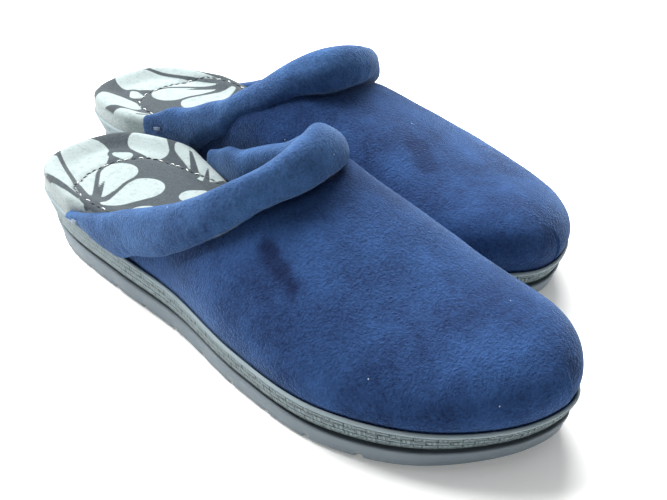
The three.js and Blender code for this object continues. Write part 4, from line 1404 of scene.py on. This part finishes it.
@dataclass
class Collar:
    """The padded velour roll round the foot opening, with its seam and bar-tacks."""

    rear_outer: float = 50.0
    rear_inner: float = 60.0
    thickness: float = 14.0
    side_thickness: float = 10.5
    tip_thickness: float = 4.4
    proud: float = 1.4
    instep_proud: float = 2.9
    tuck: float = 2.0
    lift: float = 1.2
    clearance: float = 0.6
    squareness: float = 0.8
    foot_reach: float = 1.9
    run_length: float = 330.0
    pucker_pitch: float = 8.5
    pucker_depth: float = 0.2
    tack_length: float = 4.6
    tack_radius: float = 0.27
    seam_stitch: float = 3.0
    seam_gap: float = 0.8
    seam_radius: float = 0.4
    steps: int = 240
    around: int = 44
    topline: tuple = (
        (-0.506, -0.392, 0.106), (-0.324, -0.385, 0.211), (-0.096, -0.37, 0.362), (0.074, -0.362, 0.497),
        (0.245, -0.356, 0.618), (0.415, -0.335, 0.732), (0.546, -0.305, 0.829), (0.654, -0.26, 0.931),
        (0.763, -0.18, 1.089), (0.836, -0.07, 1.237), (0.825, 0.04, 1.294), (0.727, 0.16, 1.196),
        (0.582, 0.26, 1.047), (0.448, 0.315, 0.901), (0.328, 0.342, 0.797), (0.201, 0.355, 0.707),
        (0.074, 0.36, 0.601), (-0.042, 0.362, 0.511), (-0.161, 0.367, 0.466), (-0.263, 0.375, 0.376),
        (-0.368, 0.384, 0.301),
    )

    def seam_line(self, last: Last) -> Array:
        """The seam in space, carried back along the rim to the rear tips."""
        at = resample(Dome(last, 0.0).seam(), 25)
        on_vamp = Dome(last, 0.0).point(at[:, 0], at[:, 1])
        on_vamp[:, 2] = np.maximum(on_vamp[:, 2], last.rim(at[:, 0]) + self.lift)
        sides, front = last.sides(), last.opening_rear

        def along_rim(share: float, rear: float, side: Side) -> list:
            """A point on the rim behind the vamp."""
            x = rear + (front - rear) * share
            y = np.interp(x, sides[side][:, 0], sides[side][:, 1])
            inset = last.feather_inset if side is Side.INNER else -0.3
            return [x, y - inset, float(last.rim(x)) + self.lift]

        behind = [along_rim(share, self.rear_outer, Side.OUTER) for share in (0, 0.33, 0.67)]
        inside = [along_rim(share, self.rear_inner, Side.INNER) for share in (0.6, 0)]
        return np.vstack([behind, on_vamp, inside])

    def sections(self, last: Last, count: int) -> dict:
        """Sections of the roll at evenly spaced shares of its length.

        Args:
            last: The form it follows.
            count: How many cells along the roll.

        Returns:
            Arrays for the share, foot, middle, up, out, ahead and half sizes.
        """
        low = resample(spline(self.seam_line(last), 3000), count + 1)
        along, across, rise = np.array(self.topline).T
        x = last.along_opening(along)
        z = last.rim(x) * (1 - rise) + last.crest(last.opening_front) * rise
        high = resample(spline(np.column_stack([x, across * last.width, z]), 3000), count + 1)
        t = np.linspace(0, 1, count + 1)
        end = np.minimum(t, 1 - t)
        height = np.linalg.norm(high - low, axis=1)
        up = unit(high - low)
        ahead = unit(unit(np.gradient(low, axis=0)) + unit(np.gradient(high, axis=0)))
        out = unit(np.cross(ahead, up))
        tip, instep = smooth(end, 0, 0.14), smooth(end, 0.3, 0.46)
        side = self.tip_thickness + (self.side_thickness - self.tip_thickness) * tip
        thick = side + (self.thickness - side) * instep
        proud = np.where(t < 0.5, self.proud, -self.tuck) * tip
        middle = (low + high) / 2 + out * (proud + (self.instep_proud - proud) * instep)[:, None]
        return {"t": t, "low": low, "middle": middle, "up": up, "out": out, "ahead": ahead,
                "half_height": height / 2 - self.clearance, "half_thick": thick / 2}

    def build(self, b: Build) -> bpy.types.Object:
        """Makes the roll as a closed tube of velour with rounded tips."""
        s = self.sections(b.last, self.steps)
        turn = np.linspace(0, 2 * math.pi, self.around, endpoint=False)

        def squared(v: Array) -> Array:
            """Makes a round section a little squarer."""
            return np.sign(v) * np.abs(v) ** self.squareness

        fall, rise = -squared(np.cos(turn)), squared(np.sin(turn))
        middle, up, out = (s[key][:, None] for key in ("middle", "up", "out"))
        reach = smooth(np.minimum(s["t"], 1 - s["t"]), 0.03, 0.15)[:, None]
        foot = self.foot_reach * np.clip(np.cos(turn), 0, 1) ** 6 * reach
        rings = (middle + up * (s["half_height"][:, None] * fall - foot)[..., None]
                 + out * (s["half_thick"][:, None] * rise)[..., None])
        rings = self.puff(b, s, rings, turn)
        caps = {}
        for end, way in ((0, -1), (-1, 1)):
            grown = []
            for scale, along in ((0.9, 0.5), (0.68, 1.0), (0.36, 1.35), (0.0, 1.45)):
                centre = rings[end].mean(axis=0)
                grown.append(centre + (rings[end] - centre) * scale + s["ahead"][end] * along * way)
            caps[end] = grown
        rings = np.concatenate([np.array(caps[0][::-1]), rings, np.array(caps[-1])])
        points = b.place(rings.reshape(-1, 3))
        piece = new_object(b.name("collar_velour"), points, ring_faces(len(rings), self.around))
        float_attribute(piece, "pressed", np.zeros(len(piece.data.vertices)))
        return piece

    def puff(self, b: Build, s: dict, rings: Array, turn: Array) -> Array:
        """Adds the give of stuffed velour: soft swellings and small puckers at the seam.

        Args:
            b: The slipper it belongs to.
            s: The sections.
            rings: Smooth rings of points.
            turn: Angle of each point from the foot of its section.

        Returns:
            The uneven rings.
        """
        flat = rings.reshape(-1, 3)
        out = unit(rings - s["middle"][:, None]).reshape(-1, 3)
        seed = 7.0 if b.foot is Foot.RIGHT else 11.0
        push = 0.4 * lumps(flat, 34, seed) + 0.16 * lumps(flat, 12, seed + 1)
        t = np.repeat(s["t"], len(turn))
        angle = np.tile(turn, len(s["t"]))
        near_seam = np.exp(-((np.minimum(angle, 2 * math.pi - angle) - 0.55) / 0.5) ** 2)
        run = t * self.run_length
        wander = 2.2 * np.sin(run * 0.11)
        pucker = np.sin(run * 2 * math.pi / self.pucker_pitch + wander) * (0.6 + 0.4 * np.sin(run * 0.23))
        push += self.pucker_depth * near_seam * pucker * smooth(np.minimum(t, 1 - t), 0.05, 0.2)
        push *= smooth(np.minimum(t, 1 - t), 0.0, 0.08)
        return (flat + out * push[:, None]).reshape(rings.shape)

    def seam(self, b: Build) -> bpy.types.Object:
        """The stitches hidden in the crease between roll and vamp."""
        s = self.sections(b.last, 120)
        path = s["middle"] - s["up"] * (s["half_height"] + 0.6)[:, None]
        rows, _ = dashes(path[23:-19], self.seam_stitch, self.seam_gap, 0.2)
        return thread_object(b, "collar_seam_thread", rows, self.seam_radius, [0.0] * len(rows))

    def tack(self, b: Build, side: Side) -> bpy.types.Object:
        """A bar-tack: a few tight threads side by side at a rear tip."""
        s = self.sections(b.last, 26)
        k = TACK_SECTION[side]
        middle = s["middle"][k] + s["out"][k] * (s["half_thick"][k] + 0.35)
        across = np.cross(s["ahead"][k], s["out"][k])
        along = s["ahead"][k] * np.linspace(-self.tack_length / 2, self.tack_length / 2, 6)[:, None]
        rows = [middle + across * (i - 1) * 0.5 + along for i in range(3)]
        return thread_object(b, f"bartack_{side.name.lower()}_thread", rows, self.tack_radius, [1.0] * 3)

    def dress(self, b: Build, roll: bpy.types.Object, seam: bpy.types.Object, tacks: dict) -> None:
        """Finishes the roll, its seam, its bar-tacks and its hidden foam."""
        # The roll takes the lighter copy of the velour, with painted light.
        b.settle(roll, "collar_cover", b.wardrobe.roll_velour_painted_light)
        b.settle(seam, "collar_seam_stitching", b.wardrobe.dark_thread)
        for side, tack in tacks.items():
            b.settle(tack, f"collar_bartack_{side.name.lower()}", b.wardrobe.pale_thread)
        b.repaint("collar_foam", b.wardrobe.foam)



# ------------------------------------------------------------------ the pair
class Slipper:
    """One slipper with all its sub-assemblies."""

    def __init__(self, foot: Foot, wardrobe: Wardrobe) -> None:
        """Prepares a slipper.

        Args:
            foot: Which foot it is for.
            wardrobe: The finishes of the pair.
        """
        last = Last()
        self.b = Build(foot, last, Placer(foot, last), wardrobe)

    def build(self) -> None:
        """Builds and dresses every sub-assembly."""
        for part in (Outsole(), Midsole()):
            part.dress(self.b, part.build(self.b))
        footbed, upper, collar = Footbed(), Upper(), Collar()
        footbed.dress(self.b, footbed.build(self.b), footbed.stitches(self.b))
        upper.dress(self.b, *upper.build(self.b))
        tacks = {side: collar.tack(self.b, side) for side in Side}
        collar.dress(self.b, collar.build(self.b), collar.seam(self.b), tacks)


@dataclass(frozen=True)
class Softbox:
    """A soft square light.

    Args:
        name: Its name.
        at: Where it is, in metres.
        aim: The point it faces.
        size: Width of the square.
        power: Watts.
    """

    name: str
    at: tuple
    aim: tuple
    size: float
    power: float

    def build(self) -> None:
        """Hangs the light and turns it to its aim."""
        data = bpy.data.lights.new(self.name, "AREA")
        data.shape, data.size, data.energy = "SQUARE", self.size, self.power
        lamp = bpy.data.objects.new(self.name, data)
        bpy.context.scene.collection.objects.link(lamp)
        lamp.location = self.at
        lamp.rotation_euler = (Vector(self.aim) - Vector(self.at)).to_track_quat("-Z", "Y").to_euler()


@dataclass(frozen=True)
class Studio:
    """White floor, soft light from above and behind, and the camera."""

    focal_mm: float = 58.49
    pitch: float = 30.66
    yaw: float = 135.31
    roll: float = -0.84
    eye: tuple = (398.34, -228.43, 232.79)
    floor_size: float = 8.0
    floor_glow: float = 0.22
    surround: float = 0.16
    lights: tuple = (
        Softbox("key_softbox", (-0.85, -0.25, 1.05), (0, 0, 0.02), 0.6, 30.0),
        Softbox("back_softbox", (-0.6, 0.7, 0.95), (0.02, 0, 0.02), 0.8, 36.0),
        Softbox("ring_fill", (0.05, 0.0, 1.5), (0.0, 0, 0.02), 1.6, 5.5),
    )

    def floor(self) -> None:
        """Lays the floor."""
        bpy.ops.object.select_all(action="DESELECT")
        bpy.ops.mesh.primitive_plane_add(size=self.floor_size, location=(0, 0, -0.0002))
        floor = bpy.context.object
        floor.name = "studio_floor"
        s = Shader("white_paper")
        s.set(Base_Color=linear("fbfbf9"), Roughness=0.9, Specular_IOR_Level=0.1,
              Emission_Color=linear("fdfdfb"), Emission_Strength=self.floor_glow)
        floor.data.materials.append(s.material)

    def world(self) -> None:
        """A plain pale surround."""
        world = bpy.data.worlds.new("pale_surround")
        bpy.context.scene.world = world
        world.use_nodes = True
        back = world.node_tree.nodes["Background"]
        back.inputs["Color"].default_value = linear("f7faff")
        back.inputs["Strength"].default_value = self.surround

    def camera(self, place: Placer) -> None:
        """Sets up the camera, placed from the right slipper's own axes."""
        pitch, yaw, roll = (math.radians(v) for v in (self.pitch, self.yaw, self.roll))
        ahead = Vector((math.cos(yaw) * math.cos(pitch), math.sin(yaw) * math.cos(pitch), -math.sin(pitch)))
        right = Vector((math.sin(yaw), -math.cos(yaw), 0))
        up = right.cross(ahead)
        side = math.cos(roll) * right + math.sin(roll) * up
        top = -math.sin(roll) * right + math.cos(roll) * up
        turn = Matrix((side, top, -ahead)).transposed().to_4x4()
        data = bpy.data.cameras.new("camera")
        data.sensor_fit, data.sensor_width, data.lens = "HORIZONTAL", 36.0, self.focal_mm
        data.clip_start, data.clip_end = 0.01, 50.0
        camera = bpy.data.objects.new("camera", data)
        bpy.context.scene.collection.objects.link(camera)
        camera.matrix_world = Matrix.Translation(Vector(place(np.array(self.eye)))) @ turn
        bpy.context.scene.camera = camera

    def build(self, place: Placer) -> None:
        """Sets up floor, light and camera."""
        bpy.context.scene.view_settings.view_transform = "Standard"
        self.floor()
        self.world()
        for softbox in self.lights:
            softbox.build()
        self.camera(place)


def main() -> None:
    """Dresses the pair and sets the stage."""
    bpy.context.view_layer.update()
    wardrobe = Wardrobe()
    slippers = [Slipper(foot, wardrobe) for foot in Foot]
    for slipper in slippers:
        slipper.build()
    Studio().build(slippers[0].b.place)


if __name__ == "__main__":
    main()
